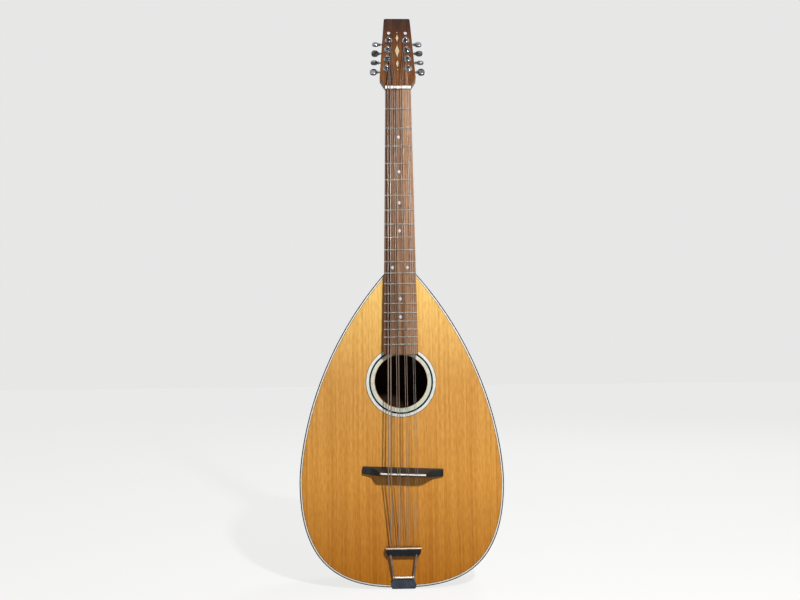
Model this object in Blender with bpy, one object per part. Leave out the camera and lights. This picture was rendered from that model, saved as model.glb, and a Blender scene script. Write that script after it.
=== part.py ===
# Mandocello: teardrop body, neck pitched back, eight geared tuners, floating bridge, trapeze tailpiece.
# Metres. +Z runs up the neck, -Y is the front, +X is the treble side.
# The origin is the point it is held up by: mid width and mid thickness, between the headstock's shoulders.
import math

import bmesh
import bpy
from mathutils import Matrix, Vector

for old in list(bpy.data.objects):
    bpy.data.objects.remove(old, do_unlink=True)

# Clearance between pieces that touch
GAP = 0.0003
# How far a cutting shape reaches past what it cuts
CUTTER_REACH = 0.010

# Scale and fretboard
SCALE_LENGTH = 0.648
FRET_COUNT = 20
JOINT_FRET = 12
NUT_WIDTH = 0.0445
FRETBOARD_FLARE = 0.0283
FRETBOARD_THICKNESS = 0.006
FRET_HEIGHT = 0.0011
FRET_WIDTH = 0.0024
FRET_CROWN = 0.0012
NUT_THICKNESS = 0.0055
NUT_PROUD = 0.0014

# Neck and headstock
NECK_PITCH = math.radians(1.5)
HEAD_PITCH = math.radians(13.0)
NECK_DEPTH_NUT = 0.0165
NECK_DEPTH_HEEL = 0.0185
HEEL_LENGTH = 0.066
HEEL_FOOT = 0.012
HEEL_TUCK = 0.004
TRUSS_ROD_WIDTH = 0.006
TRUSS_ROD_DEPTH = 0.0095
TRUSS_ROD_LENGTH = 0.290
HEAD_LENGTH = 0.149
HEAD_SHOULDER_WIDTH = 0.0638
HEAD_SHOULDER_RISE = 0.0205
HEAD_THROAT_RISE = 0.003
HEAD_TOP_WIDTH = 0.0468
HEAD_THICKNESS = 0.012
FACEPLATE_THICKNESS = 0.002
HOLD_RISE = 0.012
HEAD_ROOT = 0.005
HEAD_THROAT_ROUND = 0.003
HEAD_SHOULDER_ROUND = 0.006
HEAD_TOP_ROUND = 0.003
VOLUTE_LENGTH = 0.022
VOLUTE_ROOT = 0.006
VOLUTE_INSET = 0.0015
VOLUTE_LIFT = 0.0007
VOLUTE_END_INSET = 0.0045
VOLUTE_FADE = 0.001
NECK_STATIONS = (0.45, 0.75, 1.0)
NECK_ARC_STEPS = 10
NECK_FLATNESS_ACROSS = 0.9
NECK_FLATNESS_DEEP = 0.85
HEEL_STEPS = 6

# Body outline
BODY_WIDTH = 0.3364
BODY_LENGTH = 0.5132
WIDEST_ABOVE_TAIL = 0.1710
SHOULDER_ANGLE = math.radians(40.9)
SHOULDER_REACH = 0.2096
UPPER_BELLY = 0.0164
LOWER_BELLY = 0.1544
TAIL_ROUND = 0.0795
UPPER_STEPS = 12
LOWER_STEPS = 9

# Body shell
DEPTH_AT_JOINT = 0.078
DEPTH_AT_TAIL = 0.090
TOP_THICKNESS = 0.003
BACK_THICKNESS = 0.0028
SIDE_THICKNESS = 0.0024
BINDING_WIDTH = 0.0042
BINDING_DEPTH = 0.0055
LINING_WIDTH = 0.0105
LINING_HEIGHT = 0.012
NECK_BLOCK_WIDTH = 0.084
NECK_BLOCK_LENGTH = 0.058
TAIL_BLOCK_WIDTH = 0.080
TAIL_BLOCK_LENGTH = 0.026
BRACE_WIDTH = 0.008
BRACE_HEIGHT = 0.014
BRACE_END_HEIGHT = 0.004
BRACE_SCALLOP = 0.030
UPPER_BRACE_FROM_HOLE = 0.0249
LOWER_BRACE_FROM_HOLE = 0.0373
BACK_BRACE_BELOW_JOINT = 0.235

# Soundhole and rosette
HOLE_BELOW_JOINT = 0.1808
HOLE_RADIUS = 0.0439
ROSETTE_RADIUS = 0.0586
ROSETTE_THICKNESS = 0.0015
ROUND_STEPS = 40

# Bridge and saddle
BRIDGE_COMPENSATION = 0.007
BRIDGE_SHIFT = 0.0015
BRIDGE_SKEW = math.radians(2.5)
BRIDGE_LENGTH = 0.1326
BRIDGE_BASE_ABOVE = 0.0092
BRIDGE_BASE_BELOW = 0.0058
BRIDGE_CREST_WIDTH = 0.0060
BRIDGE_CREST_LENGTH = 0.0790
BRIDGE_CREST_HEIGHT = 0.0158
BRIDGE_WING_RUN = 0.0155
BRIDGE_WING_HEIGHT = 0.0050
BRIDGE_WING_BELOW = 0.0042
BRIDGE_TIP_HEIGHT = 0.0044
BRIDGE_TIP_BELOW = 0.0026
BRIDGE_EDGE_SLOPE = 0.0012
SADDLE_LENGTH = 0.0740
SADDLE_THICKNESS = 0.0024
SADDLE_SET = 0.0045

# Strings, bass to treble, two of each gauge
GAUGES = (0.00188, 0.00122, 0.00086, 0.00056)
STRING_RISE_AT_NUT = 0.0004
ACTION_AT_JOINT = 0.0025
NUT_COURSE_SPACING = 0.0105
NUT_PAIR_CLEAR = 0.0022
SADDLE_COURSE_SPACING = 0.0146
SADDLE_PAIR_CLEAR = 0.0024
TAIL_COURSE_SPACING = 0.0118
WINDING_CLEAR = 0.00045
WINDING_STEPS = 24
LEAST_TURNS = 0.5

# Tuning machines
POSTS_PER_SIDE = 4
FIRST_POST = 0.0392
POST_PITCH = 0.0202
POST_FROM_EDGE = 0.0114
POST_RADIUS = 0.0025
POST_HEIGHT = 0.0093
STRING_HOLE_HEIGHT = 0.0056
STRING_HOLE_RADIUS = 0.0011
STRING_HOLE_STEPS = 8
BUSHING_SLEEVE_RADIUS = 0.0047
BUSHING_SLEEVE_LENGTH = 0.009
WASHER_RADIUS = 0.0068
WASHER_THICKNESS = 0.0011
COLLAR_RADIUS = 0.0050
COLLAR_HEIGHT = 0.0010
WHEEL_TEETH = 14
TOOTH_PITCH = 0.0020
TOOTH_ADDENDUM = 0.0005
TOOTH_SLOPE = math.radians(20.0)
WHEEL_THICKNESS = 0.0032
WORM_PITCH_RADIUS = 0.00225
WORM_TURNS = 2
WORM_STEPS = 8
HOUSING_WALL = 0.0014
HOUSING_CORNER = 0.0028
SHAFT_RADIUS = 0.0016
SHAFT_STEPS = 12
BUTTON_START = 0.0170
BUTTON_REACH = 0.0130
BUTTON_WIDTH = 0.0178
BUTTON_THICKNESS = 0.0080
BUTTON_COLLAR_RADIUS = 0.0030
BUTTON_COLLAR_LENGTH = 0.0022
BUTTON_STATIONS = (0.08, 0.3, 0.7, 0.92, 1.0)
BUTTON_ROUNDNESS = 2.6
BUTTON_TIP = 0.04
BUTTON_TURNS = (70.0, 25.0, 5.0, 50.0, 60.0, 15.0, 40.0, 75.0)

# Trapeze tailpiece
TAIL_SHIFT = 0.001
PLATE_WIDTH = 0.0576
PLATE_LENGTH = 0.0144
PLATE_HEIGHT = 0.0088
PLATE_THICKNESS = 0.0015
PLATE_LIP_DEPTH = 0.0040
PLATE_CORNER = 0.004
LEG_TOP_SPREAD = 0.0426
LEG_FOOT_SPREAD = 0.0322
LEG_WIDTH = 0.0032
LEG_THICKNESS = 0.0024
HINGE_ABOVE_TAIL = 0.0168
PLATE_ABOVE_HINGE = 0.0489
HINGE_HEIGHT = 0.0050
HINGE_ROD_RADIUS = 0.0015
HINGE_BARREL_RADIUS = 0.0029
HINGE_BARREL_LENGTH = 0.0260
BASE_WIDTH = 0.0407
BASE_THICKNESS = 0.0018
BASE_STRAP_LENGTH = 0.034
BASE_CORNER = 0.009
BASE_ABOVE_HINGE = 0.0035

# Sizes that follow from the ones above
JOINT_DISTANCE = SCALE_LENGTH * (1 - 2 ** (-JOINT_FRET / 12))
BRIDGE_BELOW_JOINT = SCALE_LENGTH - JOINT_DISTANCE + BRIDGE_COMPENSATION
HOLE_Z = -HOLE_BELOW_JOINT
FRETBOARD_END = HOLE_Z + HOLE_RADIUS
FRET_PLANE = FRETBOARD_THICKNESS + FRET_HEIGHT
HINGE_BELOW_JOINT = BODY_LENGTH - HINGE_ABOVE_TAIL
PLATE_BELOW_JOINT = HINGE_BELOW_JOINT - PLATE_ABOVE_HINGE
HEAD_START = JOINT_DISTANCE + NUT_THICKNESS
HEAD_BACK = FACEPLATE_THICKNESS + GAP + HEAD_THICKNESS
STRING_COUNT = 2 * len(GAUGES)
TOOTH_DEDENDUM = TOOTH_ADDENDUM + GAP
WHEEL_RADIUS = WHEEL_TEETH * TOOTH_PITCH / (2 * math.pi)
WORM_OFFSET = WHEEL_RADIUS + WORM_PITCH_RADIUS
WORM_OUTSIDE = WORM_PITCH_RADIUS + TOOTH_ADDENDUM
WORM_CORE = WORM_PITCH_RADIUS - TOOTH_DEDENDUM
CAVITY_HALF_WIDTH = WHEEL_RADIUS + TOOTH_ADDENDUM + 2 * GAP
CAVITY_TOP = WORM_OFFSET + WORM_OUTSIDE + 2 * GAP
HOUSING_FRONT = HEAD_BACK + GAP
CAVITY_DEPTH = 2 * WORM_OUTSIDE + 4 * GAP
GEAR_DEPTH = HOUSING_FRONT + CAVITY_DEPTH / 2
BUSHING_TOP = GAP + WASHER_THICKNESS + COLLAR_HEIGHT


def bezier(points, t):
    weights = ((1 - t) ** 3, 3 * (1 - t) ** 2 * t, 3 * (1 - t) * t ** 2, t ** 3)
    return sum((w * p for w, p in zip(weights, points)), Vector((0.0, 0.0)))


def bezier_direction(points, t):
    legs = [points[i + 1] - points[i] for i in range(3)]
    weights = ((1 - t) ** 2, 2 * (1 - t) * t, t ** 2)
    return sum((w * leg for w, leg in zip(weights, legs)), Vector((0.0, 0.0))).normalized()


def fretboard_half_width(s):
    """Half the fretboard's width at distance s above the body joint, along the neck."""
    return NUT_WIDTH / 2 + FRETBOARD_FLARE / 2 * (JOINT_DISTANCE - s)


def back_depth(z):
    """Depth of the back's outer face at height z."""
    return DEPTH_AT_JOINT + (DEPTH_AT_TAIL - DEPTH_AT_JOINT) * (-z / BODY_LENGTH)


def rim_stations():
    """Points of the body's right half with their inward normals, from the joint to the tail."""
    corner = Vector((fretboard_half_width(0.0), 0.0))
    widest = Vector((BODY_WIDTH / 2, WIDEST_ABOVE_TAIL - BODY_LENGTH))
    tail = Vector((0.0, -BODY_LENGTH))
    away = Vector((math.sin(SHOULDER_ANGLE), -math.cos(SHOULDER_ANGLE)))
    upper = (corner, corner + SHOULDER_REACH * away, widest + Vector((0.0, UPPER_BELLY)), widest)
    lower = (widest, widest - Vector((0.0, LOWER_BELLY)), tail + Vector((TAIL_ROUND, 0.0)), tail)
    stations = []
    for arc, first, steps in ((upper, 0, UPPER_STEPS), (lower, 1, LOWER_STEPS)):
        for i in range(first, steps + 1):
            along = bezier_direction(arc, i / steps)
            stations.append((bezier(arc, i / steps), Vector((along.y, -along.x))))
    return stations


RIM = rim_stations()


def rim_half(inset):
    """The right half of the outline, moved inwards by inset, with a mitred corner at the joint."""
    points = [place + inset * inward for place, inward in RIM]
    flat = Vector((0.0, -1.0))
    side = RIM[0][1]
    points[0] = RIM[0][0] + inset * (flat + side) / (1 + flat.dot(side))
    points[-1].x = 0.0
    return points


def rim_loop(inset):
    half = rim_half(inset)
    return half + [Vector((-p.x, p.y)) for p in reversed(half[:-1])]


def rim_width_at(z, inset):
    """Half the outline's width at height z."""
    half = rim_half(inset)
    for a, b in zip(half, half[1:]):
        if b.y <= z <= a.y:
            return a.x + (b.x - a.x) * (a.y - z) / (a.y - b.y)
    return 0.0


def rim_height_at(x, inset, tail):
    """The height where the outline is x from the centre line, near the joint or near the tail."""
    half = rim_half(inset)
    if tail:
        half.reverse()
    for a, b in zip(half, half[1:]):
        if a.x <= x <= b.x:
            return a.y + (b.y - a.y) * (x - a.x) / (b.x - a.x)
    return half[0].y


def build_mesh(name, points, faces):
    mesh = bpy.data.meshes.new(name)
    mesh.from_pydata([tuple(p) for p in points], [], faces)
    shell = bmesh.new()
    shell.from_mesh(mesh)
    bmesh.ops.recalc_face_normals(shell, faces=shell.faces)
    shell.to_mesh(mesh)
    shell.free()
    return mesh


def loft(name, rings, looped=False):
    """A closed skin over rings of equal count, capped at both ends or looped round."""
    count = len(rings[0])
    faces = []
    for i in range(len(rings) if looped else len(rings) - 1):
        here = i * count
        there = (i + 1) % len(rings) * count
        for j in range(count):
            k = (j + 1) % count
            faces.append((here + j, here + k, there + k, there + j))
    if not looped:
        last = (len(rings) - 1) * count
        faces.append(tuple(range(count)))
        faces.append(tuple(range(last, last + count)))
    return build_mesh(name, [p for ring in rings for p in ring], faces)


def slab(name, outline, front, back):
    """An outline in X and Z, made solid between two depths along Y."""
    rings = [[(p[0], depth(p[1]), p[1]) for p in outline] for depth in (front, back)]
    return loft(name, rings)


def plate(name, outline, front, back):
    return slab(name, outline, lambda z: front, lambda z: back)


def bar(name, low, high):
    corners = ((low[0], low[2]), (high[0], low[2]), (high[0], high[2]), (low[0], high[2]))
    return plate(name, corners, low[1], high[1])


def turned(name, stations, axis, steps):
    """A round bar: stations are (place along the axis, radius)."""
    rings = []
    for place, radius in stations:
        ring = []
        for i in range(steps):
            angle = 2 * math.pi * i / steps
            across = (radius * math.cos(angle), radius * math.sin(angle))
            ring.append((place, *across) if axis == "X" else (across[0], place, across[1]))
        rings.append(ring)
    return loft(name, rings)


def turned_ring(name, profile, steps):
    """A ring round the Y axis: profile is a closed outline of (radius, depth)."""
    rings = []
    for i in range(steps):
        angle = 2 * math.pi * i / steps
        rings.append([(r * math.cos(angle), y, r * math.sin(angle)) for r, y in profile])
    return loft(name, rings, looped=True)


def rounded(corners, radii, steps=3):
    """A polygon with each corner rounded by its own radius."""
    points = []
    for i, radius in enumerate(radii):
        corner = Vector(corners[i])
        before = (Vector(corners[i - 1]) - corner).normalized()
        after = (Vector(corners[(i + 1) % len(corners)]) - corner).normalized()
        if radius <= 0:
            points.append(corner)
            continue
        half = before.angle(after) / 2
        middle = corner + (before + after).normalized() * (radius / math.sin(half))
        start = corner + before * (radius / math.tan(half)) - middle
        turn = math.pi - 2 * half
        if before.x * after.y - before.y * after.x > 0:
            turn = -turn
        for k in range(steps + 1):
            points.append(middle + Matrix.Rotation(turn * k / steps, 2) @ start)
    return points


def combine(mesh, others, operation):
    """Join others to a mesh, or cut them out of it, with exact Booleans."""
    scene = bpy.context.scene.collection.objects
    body = bpy.data.objects.new(mesh.name, mesh)
    scene.link(body)
    tools = []
    for other in others:
        tool = bpy.data.objects.new("tool", other)
        scene.link(tool)
        tools.append(tool)
        boolean = body.modifiers.new("with", "BOOLEAN")
        boolean.operation = operation
        boolean.solver = "EXACT"
        boolean.object = tool
    graph = bpy.context.evaluated_depsgraph_get()
    result = bpy.data.meshes.new_from_object(body.evaluated_get(graph))
    for used in [body] + tools:
        bpy.data.objects.remove(used, do_unlink=True)
    return result


def moved(mesh, offset):
    """Shift a mesh's points."""
    mesh.transform(Matrix.Translation(offset))
    return mesh


SHARP_ANGLE = math.radians(35.0)


def finish(name, colour, roughness, metallic):
    material = bpy.data.materials.new(name)
    material.use_nodes = True
    shader = material.node_tree.nodes["Principled BSDF"]
    shader.inputs["Base Color"].default_value = (*colour, 1.0)
    shader.inputs["Roughness"].default_value = roughness
    shader.inputs["Metallic"].default_value = metallic
    return material


SPRUCE = ((0.62, 0.33, 0.10), 0.35, 0.0)
ROSEWOOD = ((0.16, 0.06, 0.03), 0.45, 0.0)
MAHOGANY = ((0.22, 0.09, 0.04), 0.38, 0.0)
WALNUT = ((0.13, 0.06, 0.03), 0.35, 0.0)
INNER_WOOD = ((0.50, 0.32, 0.16), 0.7, 0.0)
EBONY = ((0.02, 0.02, 0.022), 0.4, 0.0)
BONE = ((0.85, 0.82, 0.72), 0.4, 0.0)
BINDING = ((0.03, 0.03, 0.03), 0.35, 0.0)
ROSETTE = ((0.72, 0.76, 0.70), 0.3, 0.0)
CHROME = ((0.75, 0.76, 0.78), 0.12, 1.0)
STEEL = ((0.50, 0.50, 0.52), 0.3, 1.0)
BRONZE = ((0.62, 0.44, 0.24), 0.3, 1.0)


def add_empty(name, parent=None, location=(0, 0, 0), tilt=0.0):
    empty = bpy.data.objects.new(name, None)
    empty.parent = parent
    empty.location = location
    empty.rotation_euler = (tilt, 0, 0)
    bpy.context.scene.collection.objects.link(empty)
    return empty


def add_part(name, data, parent, look, location=(0, 0, 0), turn=0.0):
    part = bpy.data.objects.new(name, data)
    part.parent = parent
    part.location = location
    part.rotation_euler = (0, turn, 0)
    data.materials.clear()
    data.materials.append(finish(name, *look))
    if isinstance(data, bpy.types.Mesh):
        data.shade_smooth()
        data.set_sharp_from_angle(angle=SHARP_ANGLE)
    bpy.context.scene.collection.objects.link(part)
    return part


# Frames: the body joint, the neck pitched back from it, and the headstock pitched back again
NECK_FRAME = Matrix.Rotation(-NECK_PITCH, 4, "X")
HEAD_TILT = Matrix.Rotation(-HEAD_PITCH, 4, "X")
HEAD_FRAME = NECK_FRAME @ Matrix.Translation((0, 0, HEAD_START)) @ HEAD_TILT
HOLD_POINT = HEAD_FRAME @ Vector((0, HEAD_BACK / 2, HOLD_RISE))

instrument = add_empty("instrument", location=-HOLD_POINT)
neck_axis = add_empty("neck_axis", instrument, tilt=-NECK_PITCH)
head_axis = add_empty("head_axis", neck_axis, (0, 0, HEAD_START), -HEAD_PITCH)


def add_body_shell():
    """Soundboard, back, sides with their linings, and the bindings of both edges."""
    inside = rim_loop(BINDING_WIDTH + GAP)
    board = plate("soundboard", inside, 0.0, TOP_THICKNESS)
    depth = 2 * TOP_THICKNESS
    hole = turned("hole", ((-depth, HOLE_RADIUS), (depth, HOLE_RADIUS)), "Y", ROUND_STEPS)
    seat_radius = ROSETTE_RADIUS + GAP
    seat_depth = ROSETTE_THICKNESS + GAP
    seat = turned("seat", ((-depth, seat_radius), (seat_depth, seat_radius)), "Y", ROUND_STEPS)
    cutters = [moved(cutter, (0, 0, HOLE_Z)) for cutter in (hole, seat)]
    add_part("soundboard", combine(board, cutters, "DIFFERENCE"), instrument, SPRUCE)

    profile = (
        (HOLE_RADIUS, 0.0),
        (HOLE_RADIUS, ROSETTE_THICKNESS),
        (ROSETTE_RADIUS, ROSETTE_THICKNESS),
        (ROSETTE_RADIUS, 0.0),
    )
    ring = turned_ring("rosette", profile, ROUND_STEPS)
    add_part("rosette", ring, instrument, ROSETTE, (0, 0, HOLE_Z))

    board = slab("back", inside, lambda z: back_depth(z) - BACK_THICKNESS, back_depth)
    add_part("back", board, instrument, MAHOGANY)

    def front(distance):
        return lambda z: distance

    def rear(distance):
        return lambda z: back_depth(z) - distance

    def rim(name, profile, look):
        rings = []
        for inset, depth in profile:
            rings.append([(p.x, depth(p.y), p.y) for p in rim_loop(inset)])
        add_part(name, loft(name, rings, looped=True), instrument, look)

    ledge = TOP_THICKNESS + GAP
    shelf = BACK_THICKNESS + GAP
    step = BINDING_WIDTH + GAP
    skirt = BINDING_DEPTH + GAP
    rim("sides", (
        (0.0, front(skirt)),
        (step, front(skirt)),
        (step, front(ledge)),
        (LINING_WIDTH, front(ledge)),
        (SIDE_THICKNESS, front(ledge + LINING_HEIGHT)),
        (SIDE_THICKNESS, rear(shelf + LINING_HEIGHT)),
        (LINING_WIDTH, rear(shelf)),
        (step, rear(shelf)),
        (step, rear(skirt)),
        (0.0, rear(skirt)),
    ), MAHOGANY)
    for name, outer, inner in (
        ("binding_top", front(0.0), front(BINDING_DEPTH)),
        ("binding_back", rear(0.0), rear(BINDING_DEPTH)),
    ):
        edges = ((0.0, outer), (BINDING_WIDTH, outer), (BINDING_WIDTH, inner), (0.0, inner))
        rim(name, edges, BINDING)


def add_blocks_and_braces():
    """Blocks that join the sides at the neck and the tail, and bars that stiffen the plates."""
    clear = LINING_WIDTH + GAP
    front = TOP_THICKNESS + GAP

    def under_back(z):
        return back_depth(z) - BACK_THICKNESS - GAP

    corner = rim_half(clear)[0]
    half = NECK_BLOCK_WIDTH / 2
    right = [corner, Vector((half, rim_height_at(half, clear, False)))]
    right.append(Vector((half, -NECK_BLOCK_LENGTH)))
    outline = right + [Vector((-p.x, p.y)) for p in reversed(right)]
    mesh = slab("neck_block", outline, lambda z: front, under_back)
    add_part("neck_block", mesh, instrument, INNER_WOOD)

    half = TAIL_BLOCK_WIDTH / 2
    foot = [Vector((x, rim_height_at(abs(x), clear, True))) for x in (-half, -half / 2, 0, half / 2, half)]
    top = rim_height_at(0.0, clear, True) + TAIL_BLOCK_LENGTH
    outline = foot + [Vector((half, top)), Vector((-half, top))]
    mesh = slab("tail_block", outline, lambda z: front, under_back)
    add_part("tail_block", mesh, instrument, INNER_WOOD)

    def brace(name, below, seat, inward):
        low = -below - BRACE_WIDTH / 2
        high = -below + BRACE_WIDTH / 2
        half = min(rim_width_at(low, clear), rim_width_at(high, clear))
        profile = (
            (-half, 0.0),
            (half, 0.0),
            (half, BRACE_END_HEIGHT),
            (half - BRACE_SCALLOP, BRACE_HEIGHT),
            (BRACE_SCALLOP - half, BRACE_HEIGHT),
            (-half, BRACE_END_HEIGHT),
        )
        rings = [[(x, seat(z) + inward * y, z) for x, y in profile] for z in (low, high)]
        add_part(name, loft(name, rings), instrument, INNER_WOOD)

    upper = HOLE_BELOW_JOINT - HOLE_RADIUS - UPPER_BRACE_FROM_HOLE
    lower = HOLE_BELOW_JOINT + HOLE_RADIUS + LOWER_BRACE_FROM_HOLE
    brace("top_brace_1", upper, lambda z: front, 1)
    brace("top_brace_2", lower, lambda z: front, 1)
    brace("back_brace_1", BACK_BRACE_BELOW_JOINT, under_back, -1)


def head_outline(foot):
    """The headstock's outline in its own plane, from foot up to its top edge."""
    right = [
        (fretboard_half_width(JOINT_DISTANCE), foot),
        (fretboard_half_width(JOINT_DISTANCE), HEAD_THROAT_RISE),
        (HEAD_SHOULDER_WIDTH / 2, HEAD_SHOULDER_RISE),
        (HEAD_TOP_WIDTH / 2, HEAD_LENGTH),
    ]
    left = [(-x, t) for x, t in reversed(right)]
    radii = [0, HEAD_THROAT_ROUND, HEAD_SHOULDER_ROUND, HEAD_TOP_ROUND]
    return rounded(right + left, radii + radii[::-1])


def head_half_width(t):
    share = (t - HEAD_SHOULDER_RISE) / (HEAD_LENGTH - HEAD_SHOULDER_RISE)
    return (HEAD_SHOULDER_WIDTH + (HEAD_TOP_WIDTH - HEAD_SHOULDER_WIDTH) * share) / 2


def tuner_seat(index):
    """Side (-1 bass, +1 treble) and post place on the headstock for string index."""
    side = -1 if index < POSTS_PER_SIDE else 1
    rank = index if side < 0 else STRING_COUNT - 1 - index
    rise = FIRST_POST + rank * POST_PITCH
    return side, side * (head_half_width(rise) - POST_FROM_EDGE), rise


def post_holes(front, back):
    holes = []
    for index in range(STRING_COUNT):
        side, x, rise = tuner_seat(index)
        radius = BUSHING_SLEEVE_RADIUS + GAP
        hole = turned("post_hole", ((front, radius), (back, radius)), "Y", SHAFT_STEPS)
        holes.append(moved(hole, (x, 0, rise)))
    return holes


def add_neck():
    """Neck and headstock in one piece, with the heel, the rod's channel and the post holes."""
    heel_depth = DEPTH_AT_JOINT - HEEL_TUCK

    def underside(s):
        share = min(max(s / JOINT_DISTANCE, 0.0), 1.0)
        depth = NECK_DEPTH_HEEL + (NECK_DEPTH_NUT - NECK_DEPTH_HEEL) * share
        if s < HEEL_LENGTH:
            run = max(s - HEEL_FOOT, 0.0) / (HEEL_LENGTH - HEEL_FOOT)
            rise = 1 - math.sqrt(1 - (1 - run) ** 2)
            depth += (heel_depth - depth) * rise
        return depth

    sections = [(0.0, fretboard_half_width(0.0), 0.0, heel_depth)]
    for i in range(HEEL_STEPS + 1):
        run = 1 - math.cos(math.pi / 2 * i / HEEL_STEPS)
        s = HEEL_FOOT + (HEEL_LENGTH - HEEL_FOOT) * run
        sections.append((s, fretboard_half_width(s), 0.0, underside(s)))
    for share in NECK_STATIONS:
        s = HEEL_LENGTH + share * (HEAD_START - HEEL_LENGTH)
        sections.append((s, fretboard_half_width(s), 0.0, underside(s)))

    # The volute carries the shaft's depth on into the back of the headstock
    drop = math.tan(HEAD_PITCH) * VOLUTE_LENGTH
    half = fretboard_half_width(JOINT_DISTANCE)
    fade = (drop + HEAD_BACK / 2, drop + HEAD_BACK - VOLUTE_FADE)
    volute = (
        (HEAD_START - VOLUTE_ROOT, half - VOLUTE_INSET, VOLUTE_ROOT, NECK_DEPTH_NUT - VOLUTE_LIFT),
        (HEAD_START + VOLUTE_LENGTH, half - VOLUTE_END_INSET, *fade),
    )

    def ring_at(s, half, top, bottom):
        ring = []
        for i in range(NECK_ARC_STEPS + 1):
            angle = math.pi * i / NECK_ARC_STEPS
            y = top + (bottom - top) * max(math.sin(angle), 0.0) ** NECK_FLATNESS_DEEP
            x = half * math.copysign(abs(math.cos(angle)) ** NECK_FLATNESS_ACROSS, math.cos(angle))
            # The heel's end lies in the plane of the body's end, a gap above it
            near = max(0.0, 1 - s / HEEL_LENGTH)
            lift = near * (GAP + y * math.sin(NECK_PITCH)) / math.cos(NECK_PITCH)
            ring.append((x, y, s + lift))
        return ring

    shaft = loft("neck", [ring_at(*section) for section in sections])
    throat = loft("throat", [ring_at(*section) for section in volute])

    head = plate("head", head_outline(-HEAD_ROOT), FACEPLATE_THICKNESS + GAP, HEAD_BACK)
    head.transform(Matrix.Translation((0, 0, HEAD_START)) @ HEAD_TILT)
    whole = combine(shaft, [throat, head], "UNION")

    low = (JOINT_DISTANCE - TRUSS_ROD_LENGTH) / 2 - GAP
    channel = bar(
        "channel",
        (-TRUSS_ROD_WIDTH / 2 - GAP, -TRUSS_ROD_DEPTH, low),
        (TRUSS_ROD_WIDTH / 2 + GAP, TRUSS_ROD_DEPTH + GAP, low + TRUSS_ROD_LENGTH + 2 * GAP),
    )
    cutters = [channel]
    for hole in post_holes(-CUTTER_REACH, HEAD_BACK + CUTTER_REACH):
        hole.transform(Matrix.Translation((0, 0, HEAD_START)) @ HEAD_TILT)
        cutters.append(hole)
    add_part("neck", combine(whole, cutters, "DIFFERENCE"), neck_axis, MAHOGANY)

    rod = bar(
        "truss_rod",
        (-TRUSS_ROD_WIDTH / 2, 0.0, low + GAP),
        (TRUSS_ROD_WIDTH / 2, TRUSS_ROD_DEPTH, low + GAP + TRUSS_ROD_LENGTH),
    )
    add_part("truss_rod", rod, neck_axis, STEEL)

    foot = GAP + (FACEPLATE_THICKNESS + GAP) * math.tan(HEAD_PITCH)
    veneer = plate("headstock_faceplate", head_outline(foot), 0.0, FACEPLATE_THICKNESS)
    cutters = post_holes(-CUTTER_REACH, CUTTER_REACH)
    add_part("headstock_faceplate", combine(veneer, cutters, "DIFFERENCE"), head_axis, WALNUT)


def add_fretboard():
    """Fretboard with its fret wires, thickening over the body to follow the flat top."""
    start = JOINT_DISTANCE - GAP
    surface = [(start, -GAP), (start, -FRETBOARD_THICKNESS)]
    for number in range(1, FRET_COUNT + 1):
        s = JOINT_DISTANCE - SCALE_LENGTH * (1 - 2 ** (-number / 12))
        surface.append((s + FRET_WIDTH / 2, -FRETBOARD_THICKNESS))
        surface.append((s + FRET_CROWN / 2, -FRET_PLANE))
        surface.append((s - FRET_CROWN / 2, -FRET_PLANE))
        surface.append((s - FRET_WIDTH / 2, -FRETBOARD_THICKNESS))
    end = FRETBOARD_END / math.cos(NECK_PITCH) + GAP
    surface.append((end, -FRETBOARD_THICKNESS))
    surface.append((end, end * -math.tan(NECK_PITCH) - GAP))
    surface.append((0.0, -GAP))
    rings = [[(side * fretboard_half_width(s), y, s) for s, y in surface] for side in (-1, 1)]
    add_part("fretboard", loft("fretboard", rings), neck_axis, ROSEWOOD)


def string_gauge(index):
    return GAUGES[index // 2]


def string_across(index, spacing, clear):
    """How far string index lies from the centre line, in courses of two."""
    course = (index // 2 - (len(GAUGES) - 1) / 2) * spacing
    half_pair = (string_gauge(index) + clear) / 2
    return course + (half_pair if index % 2 else -half_pair)


def add_nut():
    """Bone nut with a slot for each string."""
    crest = -FRET_PLANE - NUT_PROUD
    slot_floor = -FRET_PLANE - STRING_RISE_AT_NUT + GAP
    half = fretboard_half_width(JOINT_DISTANCE)
    profile = [(half, -GAP), (-half, -GAP), (-half, crest)]
    for index in range(STRING_COUNT):
        x = string_across(index, NUT_COURSE_SPACING, NUT_PAIR_CLEAR)
        wide = string_gauge(index) / 2 + GAP
        for edge, y in ((-wide, crest), (-wide, slot_floor), (wide, slot_floor), (wide, crest)):
            profile.append((x + edge, y))
    profile.append((half, crest))
    rings = [[(x, y, s) for x, y in profile] for s in (JOINT_DISTANCE, HEAD_START - GAP)]
    add_part("nut", loft("nut", rings), neck_axis, BONE)


def string_bottom(s):
    """Depth of the strings' undersides above the neck's plane, at distance s above the joint."""
    at_nut = FRET_PLANE + STRING_RISE_AT_NUT
    at_joint = FRET_PLANE + ACTION_AT_JOINT
    return at_joint + (at_nut - at_joint) * s / JOINT_DISTANCE


SADDLE_TOP = string_bottom(-BRIDGE_BELOW_JOINT) + BRIDGE_BELOW_JOINT * math.sin(NECK_PITCH) - GAP


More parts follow.
